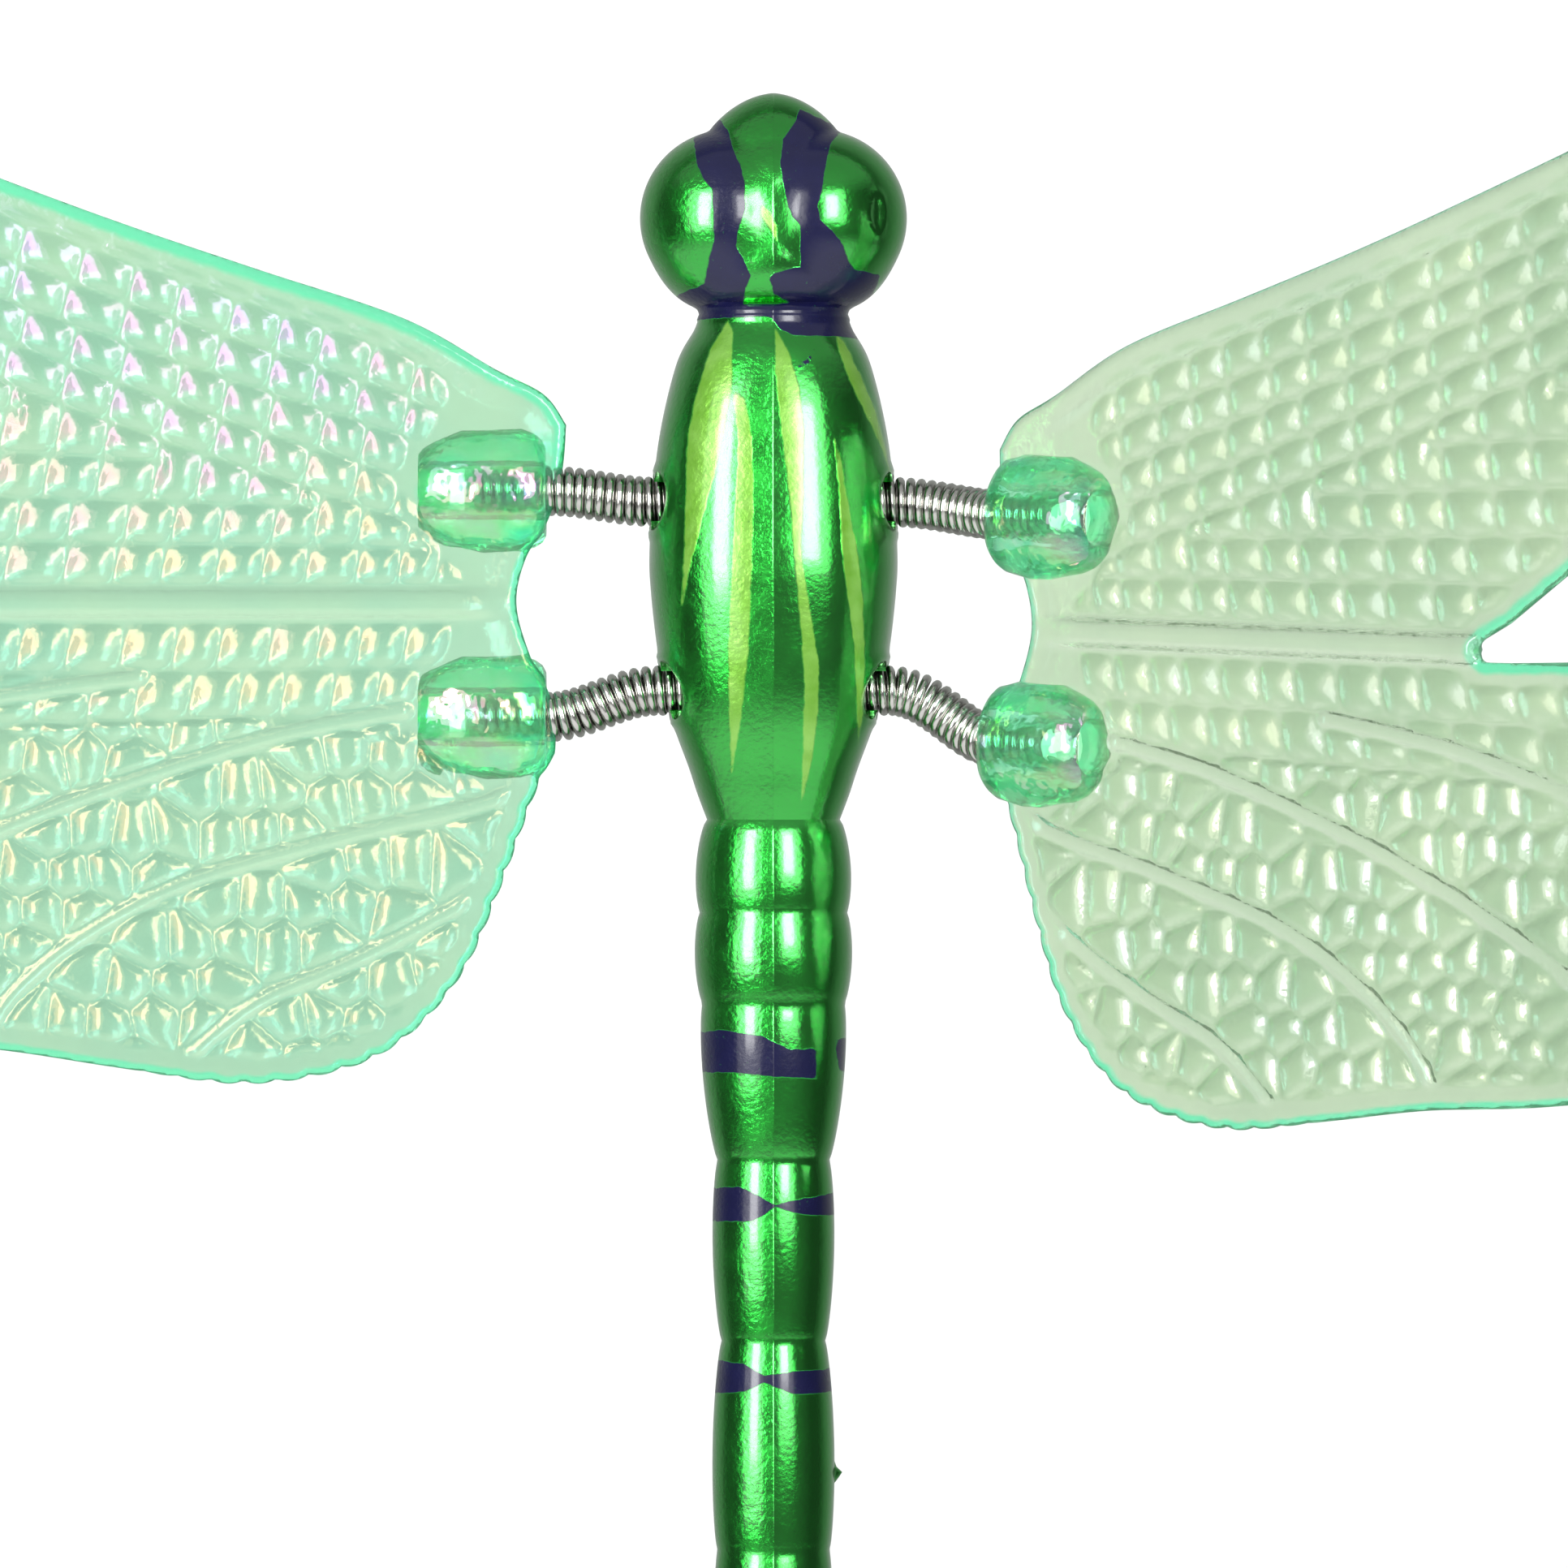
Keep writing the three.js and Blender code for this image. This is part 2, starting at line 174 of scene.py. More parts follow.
def make_floor():
    mesh = bpy.data.meshes.new("floor")
    half = 6
    corners = [(x * half, y * half, FLOOR_Z) for x, y in ((-1, -1), (1, -1), (1, 1), (-1, 1))]
    mesh.from_pydata(corners, [], [(0, 1, 2, 3)])
    floor = bpy.data.objects.new("floor", mesh)
    bpy.context.scene.collection.objects.link(floor)
    n = Nodes("floor")
    ray = n.tree.nodes.new("ShaderNodeLightPath")
    mirrored = n.math("MULTIPLY", ray.outputs["Is Glossy Ray"], ray.outputs["Is Reflection Ray"])
    # The paper is dimmer where the glossy body mirrors it than where it is seen straight on.
    paper = n.mix(mirrored, (0.68, 0.68, 0.68, 1), (0.25, 0.26, 0.25, 1))
    n.set(Base_Color=paper, Roughness=0.9, Specular_IOR_Level=0.0)
    mesh.materials.append(n.material)


# ---- Mesh helpers ----

def spline(points, steps):
    """Uniform Catmull-Rom samples through the points, with the ends repeated."""
    p = np.array(points, float)
    last = len(p) - 1
    samples = []
    for i in range(last):
        p0, p1, p2, p3 = p[max(i - 1, 0)], p[i], p[i + 1], p[min(i + 2, last)]
        v0, v1 = (p2 - p0) * 0.5, (p3 - p1) * 0.5
        for t in np.arange(steps) / steps:
            samples.append((2 * p1 - 2 * p2 + v0 + v1) * t ** 3 + (-3 * p1 + 3 * p2 - 2 * v0 - v1) * t ** 2
                           + v0 * t + p1)
    samples.append(p[last])
    return np.array(samples)


def smoothstep(x, low, high):
    t = np.clip((x - low) / (high - low), 0, 1)
    return t * t * (3 - 2 * t)


def mesh_object(name, vertices, faces, material, matrix=None, sharp_angle=40):
    """An object from vertices in millimetres, smooth except at edges sharper than sharp_angle."""
    mesh = bpy.data.meshes.new(name)
    mesh.from_pydata(np.asarray(vertices, float) * MM, [], faces)
    mesh.validate()
    bm = bmesh.new()
    bm.from_mesh(mesh)
    bmesh.ops.recalc_face_normals(bm, faces=bm.faces)
    bm.to_mesh(mesh)
    bm.free()
    if matrix is not None:
        mesh.transform(matrix)
    obj = bpy.data.objects.new(name, mesh)
    bpy.context.scene.collection.objects.link(obj)
    mesh.materials.append(material)
    mesh.shade_smooth()
    mesh.set_sharp_from_angle(angle=math.radians(sharp_angle))
    return obj


def set_attribute(obj, name, values):
    attribute = obj.data.attributes.new(name, "FLOAT", "POINT")
    attribute.data.foreach_set("value", np.asarray(values, np.float32))


def set_colour(obj, name, values):
    attribute = obj.data.attributes.new(name, "FLOAT_COLOR", "POINT")
    with_alpha = np.column_stack([values, np.ones(len(values))])
    attribute.data.foreach_set("color", with_alpha.astype(np.float32).ravel())


def lathe(outline, sides, axis="Z"):
    """A closed turned shape from a closed outline of (radius, height); points on the axis are shared."""
    vertices, rings = [], []
    for radius, height in outline:
        if radius < 1e-6:
            rings.append([len(vertices)] * sides)
            vertices.append((0, 0, height))
            continue
        rings.append(list(range(len(vertices), len(vertices) + sides)))
        for i in range(sides):
            a = 2 * math.pi * i / sides
            vertices.append((radius * math.cos(a), radius * math.sin(a), height))
    faces = []
    for lower, upper in zip(rings, rings[1:] + rings[:1]):
        for i in range(sides):
            j = (i + 1) % sides
            corners = [lower[i], lower[j], upper[j], upper[i]]
            kept = [c for k, c in enumerate(corners) if c != corners[k - 1]]
            if len(set(kept)) > 2:
                faces.append(kept)
    vertices = np.array(vertices)
    if axis == "X":
        vertices = vertices[:, [2, 0, 1]]
    return vertices, faces


def polygon_distance(points, polygon):
    """Distance in the plane to a closed polygon's edge, positive inside."""
    polygon = np.asarray(polygon, float)
    a, b = polygon, np.roll(polygon, -1, 0)
    d = b - a
    length2 = np.maximum((d ** 2).sum(1), 1e-12)
    result = np.empty(len(points))
    for start in range(0, len(points), 8000):
        p = points[start:start + 8000, None, :]
        t = np.clip(((p - a) * d).sum(2) / length2, 0, 1)
        near = a + t[..., None] * d
        distance = np.sqrt(((p - near) ** 2).sum(2)).min(1)
        px, py = p[..., 0], p[..., 1]
        crosses = (a[:, 1] > py) != (b[:, 1] > py)
        with np.errstate(divide="ignore", invalid="ignore"):
            at = a[:, 0] + (py - a[:, 1]) / d[:, 1] * d[:, 0]
        inside = (crosses & (px < at)).sum(1) % 2 == 1
        result[start:start + 8000] = np.where(inside, distance, -distance)
    return result


def line_distance(points, line):
    """Distance in the plane to an open line through the points."""
    line = np.asarray(line, float)
    a, d = line[:-1], np.diff(line, axis=0)
    length2 = (d ** 2).sum(1)
    result = np.empty(len(points))
    for start in range(0, len(points), 8000):
        p = points[start:start + 8000, None, :]
        t = np.clip(((p - a) * d).sum(2) / length2, 0, 1)
        near = a + t[..., None] * d
        result[start:start + 8000] = np.sqrt(((p - near) ** 2).sum(2)).min(1)
    return result


# ---- Material helpers ----

class Nodes:
    """Short names for building one material's node tree."""

    def __init__(self, name):
        self.material = bpy.data.materials.new(name)
        self.material.use_nodes = True
        self.tree = self.material.node_tree
        self.shader = self.tree.nodes["Principled BSDF"]

    def link(self, source, target):
        if isinstance(source, (int, float, tuple)):
            target.default_value = source
        else:
            self.tree.links.new(source, target)

    def set(self, **values):
        for name, value in values.items():
            self.link(value, self.shader.inputs[name.replace("_", " ")])

    def attribute(self, name):
        node = self.tree.nodes.new("ShaderNodeAttribute")
        node.attribute_name = name
        return node.outputs["Fac"]

    def position(self):
        return self.tree.nodes.new("ShaderNodeTexCoord").outputs["Object"]

    def math(self, operation, a, b=0.0):
        node = self.tree.nodes.new("ShaderNodeMath")
        node.operation = operation
        for value, socket in zip((a, b), node.inputs):
            self.link(value, socket)
        return node.outputs[0]

    def noise(self, scale, detail):
        node = self.tree.nodes.new("ShaderNodeTexNoise")
        node.inputs["Scale"].default_value = scale
        node.inputs["Detail"].default_value = detail
        self.link(self.position(), node.inputs["Vector"])
        return node.outputs["Fac"]

    def ramp(self, value, low, high, to_low=0.0, to_high=1.0):
        return map_range(self.tree, value, low, high, to_low, to_high)

    def mix(self, factor, a, b):
        node = self.tree.nodes.new("ShaderNodeMix")
        node.data_type = "RGBA"
        self.link(factor, node.inputs["Factor"])
        self.link(a, node.inputs[6])
        self.link(b, node.inputs[7])
        return node.outputs[2]

    def bump(self, height, distance):
        node = self.tree.nodes.new("ShaderNodeBump")
        node.inputs["Distance"].default_value = distance
        self.link(height, node.inputs["Height"])
        self.link(node.outputs[0], self.shader.inputs["Normal"])


# ---- Body ----

def lathe_half_width(y):
    """Half width of the turned body at each y, from the tail tip to the neck."""
    y = np.asarray(y, float)
    outline = spline(THORAX_OUTLINE, 12)
    width = np.interp(y, outline[:, 0], outline[:, 1])
    start, groove = THORAX_OUTLINE[0]
    for end, next_groove, swell in ABDOMEN_SEGMENTS:
        t = np.clip((start - y) / (start - end), 0, 1)
        segment = groove + (next_groove - groove) * t + swell * np.sin(np.pi * t) ** SWELL_FULLNESS
        width = np.where((y <= start) & (y > end), segment, width)
        start, groove = end, next_groove
    s = np.clip((start - y) / (start - TAIL_TIP_Y), 0, 1)
    width = np.where(y <= start, groove * (1 - s ** 2) ** 0.35, width)
    neck = 1 - smoothstep(y, NECK_Y - 2.6, NECK_Y - 1)
    return width * np.where(y > 28, neck, 1)


def ellipse_radius(cos, sin, half_width, half_height, power=2):
    return ((np.abs(cos) / half_width) ** power + (np.abs(sin) / half_height) ** power) ** (-1 / power)


def bulge(part, y, cos, sin):
    """Radius of one rounded part of the head along each ray, and 0 beyond its ends."""
    power = part["power"]
    profile = np.clip(1 - np.abs((y - part["y"]) / part["length"]) ** power, 0, 1) ** (1 / power)
    return profile * ellipse_radius(cos, sin, part["half_width"], part["height"])


def smooth_max(a, b, soft):
    h = np.clip(0.5 + 0.5 * (a - b) / soft, 0, 1)
    return b + (a - b) * h + soft * h * (1 - h)


FOREHEAD = {"y": 38.2, "half_width": 7.3, "length": 8.5, "height": 8.6, "power": 2.2}
NAPE = {"y": 34.2, "half_width": 11.5, "length": 6.95, "height": 8.7, "power": 2.5}


def body_radius(y, angle):
    """Distance from the body's centre line to its skin; angle is 0 at the side and 90 degrees on top."""
    cos, sin = np.cos(angle), np.sin(angle)
    width = lathe_half_width(y)
    squareness = 2.15 + 0.4 * smoothstep(y, -22, -14) * (1 - smoothstep(y, 18, 27))
    radius = ellipse_radius(cos, sin, 1, BODY_HEIGHT_RATIO, squareness) * width
    # An eye's ellipsoid stands off the centre line, so its skin is the far root along the ray.
    across, high = EYE["radius"], EYE["height"]
    room = 1 - ((y - EYE["y"]) / across) ** 2
    a = (cos / across) ** 2 + (sin / high) ** 2
    b = -2 * (cos * EYE["x"] / across ** 2 + sin * EYE["z"] / high ** 2)
    c = (EYE["x"] / across) ** 2 + (EYE["z"] / high) ** 2 - room
    root = b * b - 4 * a * c
    eye = np.where(root > 0, (-b + np.sqrt(np.maximum(root, 0))) / (2 * a), 0)
    snout, brow, nape = (bulge(part, y, cos, sin) for part in (SNOUT, FOREHEAD, NAPE))
    head = smooth_max(smooth_max(snout, brow, 0.25), smooth_max(eye, nape, 0.9), 0.7)
    return smooth_max(radius, head, 0.35)


def body_stations():
    quarter = np.radians(np.linspace(0, 88.6, 34))
    tail_start = ABDOMEN_SEGMENTS[-1][0]
    tail = tail_start - (tail_start - TAIL_TIP_Y) * np.sin(quarter[::-1])
    abdomen = np.linspace(tail_start, -22, 210)[1:]
    thorax = np.linspace(-22, 27, 105)[1:]
    head = np.linspace(27, 44, 68)[1:]
    snout = SNOUT["y"] + SNOUT["length"] * np.sin(np.radians(np.linspace(19, 89, 34)[1:]))
    return np.concatenate([tail, abdomen, thorax, head, snout])


GATE_MARK = {"y": 37.4, "x": 10.2, "half_length": 1.75, "half_width": 0.62, "depth": 0.25}
GATE_STUB = {"y": -86.4, "angle": 2, "radius": 0.45, "proud": 0.75}
LIP = {"radius": 3.2, "width": 0.45, "proud": 0.22}
SEAM = {"gap": 0.003, "groove": 0.012}     # the gap is from each shell's edge to the middle plane
NECK_RINGS = {"height": 0.07, "pitch": 0.9}


def body_half(side):
    """Vertices and faces of one hollow half shell; side is -1 for the left and 1 for the right."""
    y = body_stations()
    fine = np.radians(np.concatenate([[-90, -89.55, -89], np.linspace(-88, 88, 103), [89, 89.55, 90]]))
    coarse = np.radians(np.linspace(90, -90, 26))
    yy, angle = np.meshgrid(y, fine, indexing="ij")
    radius = body_radius(yy, angle)
    seam = np.abs(np.degrees(angle))
    radius = radius + np.where(seam > 89.8, -SEAM["groove"], 0) * np.clip(radius / 3, 0, 1)
    rings = NECK_RINGS["height"] * np.sin((yy - 26.2) * 2 * np.pi / NECK_RINGS["pitch"])
    radius = radius + rings * smoothstep(yy, 26.8, 27.2) * (1 - smoothstep(yy, 28.4, 28.8))
    x, z = radius * np.cos(angle), radius * np.sin(angle)
    for hole_y in (-SPRING_HOLE_Y, SPRING_HOLE_Y):
        off = np.hypot(yy - hole_y, z - np.clip(z, 0, MOUTH["rise"]))
        radius = radius + LIP["proud"] * np.exp(-((off - LIP["radius"]) / LIP["width"]) ** 2) * (seam < 60)
    if side > 0:
        rho = np.hypot(
            (yy - GATE_MARK["y"]) / GATE_MARK["half_length"], (x - GATE_MARK["x"]) / GATE_MARK["half_width"])
        on_top = angle > 0
        radius = radius - GATE_MARK["depth"] * (1 - smoothstep(rho, 0.6, 1)) * on_top
        radius = radius + 0.1 * np.exp(-((rho - 1.25) / 0.2) ** 2) * on_top
        stub = np.hypot(yy - GATE_STUB["y"], z)
        radius = radius + GATE_STUB["proud"] * (1 - smoothstep(stub, 0.2, GATE_STUB["radius"] + 0.35))
    gap = SEAM["gap"]
    outer = np.stack([side * (gap + radius * np.cos(angle)), yy, radius * np.sin(angle)], 2)
    yi, angle_in = np.meshgrid(y, coarse, indexing="ij")
    inside = body_radius(yi, angle_in)
    inside = np.maximum(inside - WALL, 0.25 * inside)
    inner = np.stack([side * (gap + inside * np.cos(angle_in)), yi, inside * np.sin(angle_in)], 2)
    ring = np.concatenate([outer, inner], 1)
    rows, count = ring.shape[:2]
    vertices = ring.reshape(-1, 3) + (0, 0, BODY_AXIS_Z)
    faces = []
    for i in range(rows - 1):
        low, high = i * count, (i + 1) * count
        faces += [(low + j, low + (j + 1) % count, high + (j + 1) % count, high + j) for j in range(count)]
    faces.append(tuple(range(count)))
    faces.append(tuple(range((rows - 1) * count, rows * count)))
    return vertices, faces


# Painted marks in the X, Y plane, in millimetres, seen from above.
NAVY_MARKS = [
    [(-7.9, 45.1), (-7.6, 42.5), (-6.9, 40.7), (-6.0, 39.7), (-5.9, 36.9), (-5.8, 34.5), (-6.2, 33.3),
     (-6.8, 30.5), (-9.5, 29.6), (-9.5, 28), (-2.9, 28), (-2.9, 28.8), (-2.7, 30), (-2.2, 31.2), (-2.7, 32.4),
     (-3.6, 34.1), (-3.4, 35.5), (-2.8, 37.6), (-2.8, 40.4), (-3.3, 42.3), (-4.1, 44.2), (-4.4, 45.6),
     (-5.4, 47.2)],
    [(2.6, 47.9), (2.1, 46.5), (0.9, 44.7), (0.65, 42.1), (0.9, 40.6), (1.4, 38), (1.8, 37.1), (2.6, 36.1),
     (2.6, 32.1), (0, 31.5), (-0.4, 30.9), (0, 29.5), (1.6, 28.6), (1.8, 28), (9, 28), (10.6, 31.5),
     (8, 31.9), (7.3, 32.8), (6.6, 34.7), (4.6, 36.7), (4.4, 38), (4.8, 39.7), (5.2, 42.1),
     (5.6, 44.2), (6.9, 46)],
    [(-12, 29.2), (-3, 28.5), (3, 28.6), (12, 29.4), (12, 25.2), (2, 25.4), (0.6, 26), (-0.2, 27.2),
     (-12, 27.1)],
    [(-8, -43), (-5, -42.6), (-1, -43.2), (1.6, -44.5), (4.2, -44.4), (4.3, -47.4), (0, -47.2), (-4, -46.8),
     (-8, -46.9)],
    [(6.1, -43.6), (8, -43.4), (8, -46.6), (6.6, -46.8), (6.2, -45.4)],
    [(-7, -58.4), (-3.5, -57.9), (0.2, -59.7), (3, -59.1), (7, -58.6), (7, -61), (3, -60.8), (0.2, -60),
     (-2, -61.4), (-7, -61.6)],
    [(-7, -75), (-3, -75.4), (-0.9, -76.5), (2, -76.1), (7, -76), (7, -78.3), (2, -78.4), (-0.9, -77.2),
     (-3, -78.2), (-7, -78.6)],
    [(2.2, 22.4), (3.1, 22.9), (3.6, 23.6), (3.8, 23.2), (3.5, 22.6), (2.4, 22.1)],
]
LEAF_MARKS = [
    [(-4.5, 27), (-6.1, 24.2), (-7.4, 20.4), (-8.4, 15.5), (-8.6, 9.1), (-8.8, 2.7), (-9.1, -1.8),
     (-8.1, 2.7), (-6.9, 7.5), (-5.2, 13.9), (-4.0, 20.7), (-4.0, 26)],
    [(-4, 20.2), (-3.4, 14.9), (-3.7, 9.1), (-4.0, 2.7), (-4.4, -5.4), (-4.35, -11.8), (-4.1, -17.6),
     (-3.1, -11.8), (-2.4, -5.4), (-2.1, 2.7), (-1.95, 9.1), (-2.1, 15.5), (-2.8, 19.1)],
    [(0.15, 26.2), (0.2, 22), (0.6, 17.8), (1.6, 9.1), (2.1, 2.7), (2.7, -3.7), (3.0, -8.6), (2.9, -15),
     (2.7, -20.8), (3.7, -16.6), (4.4, -11.8), (4.5, -7), (3.7, -2.1), (2.7, 4), (2.9, 9.1), (3, 15.5),
     (2.6, 20), (1.6, 23.6)],
    [(5.9, 26), (6.7, 22.9), (8, 19.7), (9.6, 16.5), (10.8, 13.9), (11.5, 11.8), (11.1, 14.3), (10.1, 18.1),
     (8.7, 21.3), (7, 24.9)],
    [(5.9, 15.5), (6.4, 10.4), (6.7, 4.3), (7.2, 0.1), (7.9, -5.4), (8.2, -11.8), (8.3, -14.4), (8.8, -11.8),
     (9, -7), (8.8, -0.5), (8.3, 4), (7.5, 7.8), (6.7, 13)],
    [(-1.3, 38.2), (-1.2, 37), (-0.4, 35.8), (0.3, 34.6), (0.3, 36), (-0.3, 37.4)],
]


def marks_distance(points, marks, upper_only):
    """Distance inside the nearest mark, and far outside all of them where upper_only is false."""
    best = np.full(len(points), -9.0)
    for mark in marks:
        best = np.maximum(best, polygon_distance(points[:, :2], mark))
    return np.where(upper_only, best, -9)


def make_body_material(name, speckle, roughness):
    n = Nodes(name)
    wobble = n.math("MULTIPLY", n.math("SUBTRACT", n.noise(900, 3), 0.5), 0.35)
    navy = n.ramp(n.math("ADD", n.attribute("navy"), wobble), -0.04, 0.06)
    leaf = n.ramp(n.math("ADD", n.attribute("leaf"), wobble), -0.08, 0.12)
    leaf = n.math("MULTIPLY", leaf, 0.82)
    green = n.mix(n.noise(160, 3), (0.016, 0.32, 0.030, 1), (0.026, 0.45, 0.046, 1))
    leaf_colour = n.mix(n.ramp(n.noise(420, 3), 0.35, 0.65), (0.145, 0.31, 0.025, 1), (0.21, 0.40, 0.065, 1))
    navy_colour = n.mix(n.noise(500, 3), (0.0035, 0.004, 0.024, 1), (0.006, 0.0065, 0.038, 1))
    colour = n.mix(navy, n.mix(leaf, green, leaf_colour), navy_colour)
    dust = n.ramp(n.noise(2600, 1), 0.74, 0.78, 0, 0.35)
    colour = n.mix(dust, colour, (0.01, 0.10, 0.03, 1))
    metal = n.math("SUBTRACT", 1.0, n.math("MAXIMUM", navy, n.math("MULTIPLY", leaf, 0.75)))
    rough = n.math("ADD", n.ramp(n.noise(300, 3), 0.3, 0.7, roughness * 0.8, roughness * 1.25),
                   n.math("MULTIPLY", n.math("MAXIMUM", navy, leaf), 0.08))
    coat = n.math("SUBTRACT", 1.0, n.math("MULTIPLY", navy, 0.4))
    n.set(Base_Color=colour, Metallic=metal, Roughness=rough, Coat_Weight=coat, Coat_Roughness=0.13,
          Specular_IOR_Level=0.15)
    peel = n.math("ADD", n.noise(1900, 3), n.math("MULTIPLY", n.noise(500, 2), 0.9))
    edge = n.math("MULTIPLY", n.math("MAXIMUM", navy, leaf), 0.6)
    n.bump(n.math("ADD", n.math("MULTIPLY", peel, speckle), edge), 0.00006)
    return n.material


def cut(obj, vertices, faces):
    """Takes a closed cutter away from obj."""
    mesh = bpy.data.meshes.new("cutter")
    mesh.from_pydata(np.asarray(vertices) * MM, [], faces)
    bm = bmesh.new()
    bm.from_mesh(mesh)
    bmesh.ops.recalc_face_normals(bm, faces=bm.faces)
    bm.to_mesh(mesh)
    bm.free()
    cutter = bpy.data.objects.new("cutter", mesh)
    bpy.context.scene.collection.objects.link(cutter)
    modifier = obj.modifiers.new("cut", "BOOLEAN")
    modifier.object = cutter
    modifier.operation = "DIFFERENCE"
    modifier.solver = "EXACT"
    bpy.context.view_layer.update()
    graph = bpy.context.evaluated_depsgraph_get()
    cut_mesh = bpy.data.meshes.new_from_object(obj.evaluated_get(graph))
    obj.modifiers.remove(modifier)
    obj.data = cut_mesh
    bpy.data.objects.remove(cutter)


HOLE_INNER_X = 6
HOLE_OUTER_X = 20


def rod_outline(radius, low, high):
    return [(0, low), (radius, low), (radius, high), (0, high)]


def make_body():
    for side, name, speckle, roughness in ((-1, "left", 1.2, 0.24), (1, "right", 0.5, 0.17)):
        vertices, faces = body_half(side)
        material = make_body_material(f"metallised_{name}", speckle, roughness)
        shell = mesh_object(f"shell_{name}", vertices, faces, material)
        # Each spring hole is drilled once for the spring and once higher up for its mouth.
        for hole_y in (-SPRING_HOLE_Y, SPRING_HOLE_Y):
            for inner_x, height in ((HOLE_INNER_X, 0), (MOUTH["inner_x"], MOUTH["rise"])):
                drill, sides = lathe(rod_outline(BORE_RADIUS, inner_x, HOLE_OUTER_X), 48, "X")
                cut(shell, drill * (side, 1, 1) + (0, hole_y, BODY_AXIS_Z + height), sides)
        drill, sides = lathe(rod_outline(SOCKET["radius"] + 0.3, -8, SOCKET["top"] + 0.3), 64)
        cut(shell, drill, sides)
        co = np.empty(len(shell.data.vertices) * 3)
        shell.data.vertices.foreach_get("co", co)
        points = co.reshape(-1, 3) / MM
        upper = points[:, 2] > BODY_AXIS_Z - 2.5
        ring = (points[:, 1] > 25) & (points[:, 1] < 30)
        set_attribute(shell, "navy", marks_distance(points, NAVY_MARKS, upper | ring))
        set_attribute(shell, "leaf", marks_distance(points, LEAF_MARKS, upper))
        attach(shell, "thorax")
        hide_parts(f"body_shell_{name}")


# ---- Wing frames ----

def wing_matrix(hand):
    if hand == "left":
        origin = Vector((LEFT_WING["x"], LEFT_WING["y"], BODY_AXIS_Z + LEFT_WING["z"])) * MM
        return Matrix.Translation(origin) @ Matrix.Rotation(math.pi, 4, "Y")
    origin = Vector((RIGHT_WING["x"], RIGHT_WING["y"], BODY_AXIS_Z + RIGHT_WING["z"])) * MM
    raised = Matrix.Rotation(-math.radians(RIGHT_WING["raised"]), 4, "Y")
    swept = Matrix.Rotation(-math.radians(RIGHT_WING["swept"]), 4, "Z")
    return Matrix.Translation(origin) @ raised @ swept


# ---- Springs ----

def bezier(p0, p1, p2, p3, steps):
    t = (np.arange(steps) / steps)[:, None]
    return (1 - t) ** 3 * p0 + 3 * (1 - t) ** 2 * t * p1 + 3 * (1 - t) * t ** 2 * p2 + t ** 3 * p3


def spring_line(side, hole_y, matrix, lug_v):
    """Points along a spring's centre line, in millimetres, from inside the body to inside the lug."""
    start = np.array([side * SPRING["inner_x"], hole_y, BODY_AXIS_Z])
    hole = np.array([side * SPRING["flex_x"], hole_y, BODY_AXIS_Z])
    mouth = np.array(matrix @ Vector((0, lug_v * MM, 0))) / MM
    end = np.array(matrix @ Vector((SPRING["in_lug"] * MM, lug_v * MM, 0))) / MM
    reach = np.linalg.norm(mouth - hole) * 0.36
    into = (end - mouth) / np.linalg.norm(end - mouth)
    curve = bezier(hole, hole + [side * reach, 0, 0], mouth - into * reach, mouth, 60)
    return np.concatenate([start + (hole - start) * (np.arange(12) / 12)[:, None], curve,
                           mouth + (end - mouth) * (np.arange(13) / 12)[:, None]])


def lengths_along(line):
    """The distance along the line from its start to each of its points."""
    return np.concatenate([[0], np.cumsum(np.linalg.norm(np.diff(line, axis=0), axis=1))])


def coil(line, start, end):
    """A closed wire wound round the stretch of the line from start to end, in millimetres along it."""
    lengths = lengths_along(line)
    per_turn, section = 26, 10
    count = int(round((end - start) / SPRING["pitch"] * per_turn)) + 1
    s = np.linspace(start, end, count)
    centre = np.stack([np.interp(s, lengths, line[:, k]) for k in range(3)], 1)
    ahead = np.stack([np.interp(s + 0.4, lengths, line[:, k]) for k in range(3)], 1)
    behind = np.stack([np.interp(s - 0.4, lengths, line[:, k]) for k in range(3)], 1)
    tangent = ahead - behind
    tangent /= np.linalg.norm(tangent, axis=1)[:, None]
    across = np.array([0, 1, 0]) - tangent * tangent[:, 1:2]
    across /= np.linalg.norm(across, axis=1)[:, None]
    third = np.cross(tangent, across)
    angle = 2 * np.pi * (s / SPRING["pitch"])
    out = across * np.cos(angle)[:, None] + third * np.sin(angle)[:, None]
    wire = SPRING["wire"] / 2
    middle = centre + out * (SPRING["radius"] - wire)
    vertices = []
    for k in range(section):
        a = 2 * np.pi * k / section
        vertices.append(middle + wire * (math.cos(a) * out + math.sin(a) * tangent))
    vertices = np.stack(vertices, 1).reshape(-1, 3)
    faces = []
    for i in range(count - 1):
        for k in range(section):
            j = (k + 1) % section
            faces.append((i * section + k, i * section + j, (i + 1) * section + j, (i + 1) * section + k))
    faces.append(tuple(range(section)))
    faces.append(tuple(range((count - 1) * section, count * section)))
    return vertices, faces


def make_steel():
    n = Nodes("spring_steel")
    n.set(Base_Color=n.mix(n.noise(700, 4), (0.42, 0.41, 0.39, 1), (0.66, 0.65, 0.62, 1)), Metallic=1.0,
          Roughness=n.ramp(n.noise(1400, 3), 0.3, 0.7, 0.12, 0.26))
    n.bump(n.noise(2500, 2), 0.00001)
    return n.material


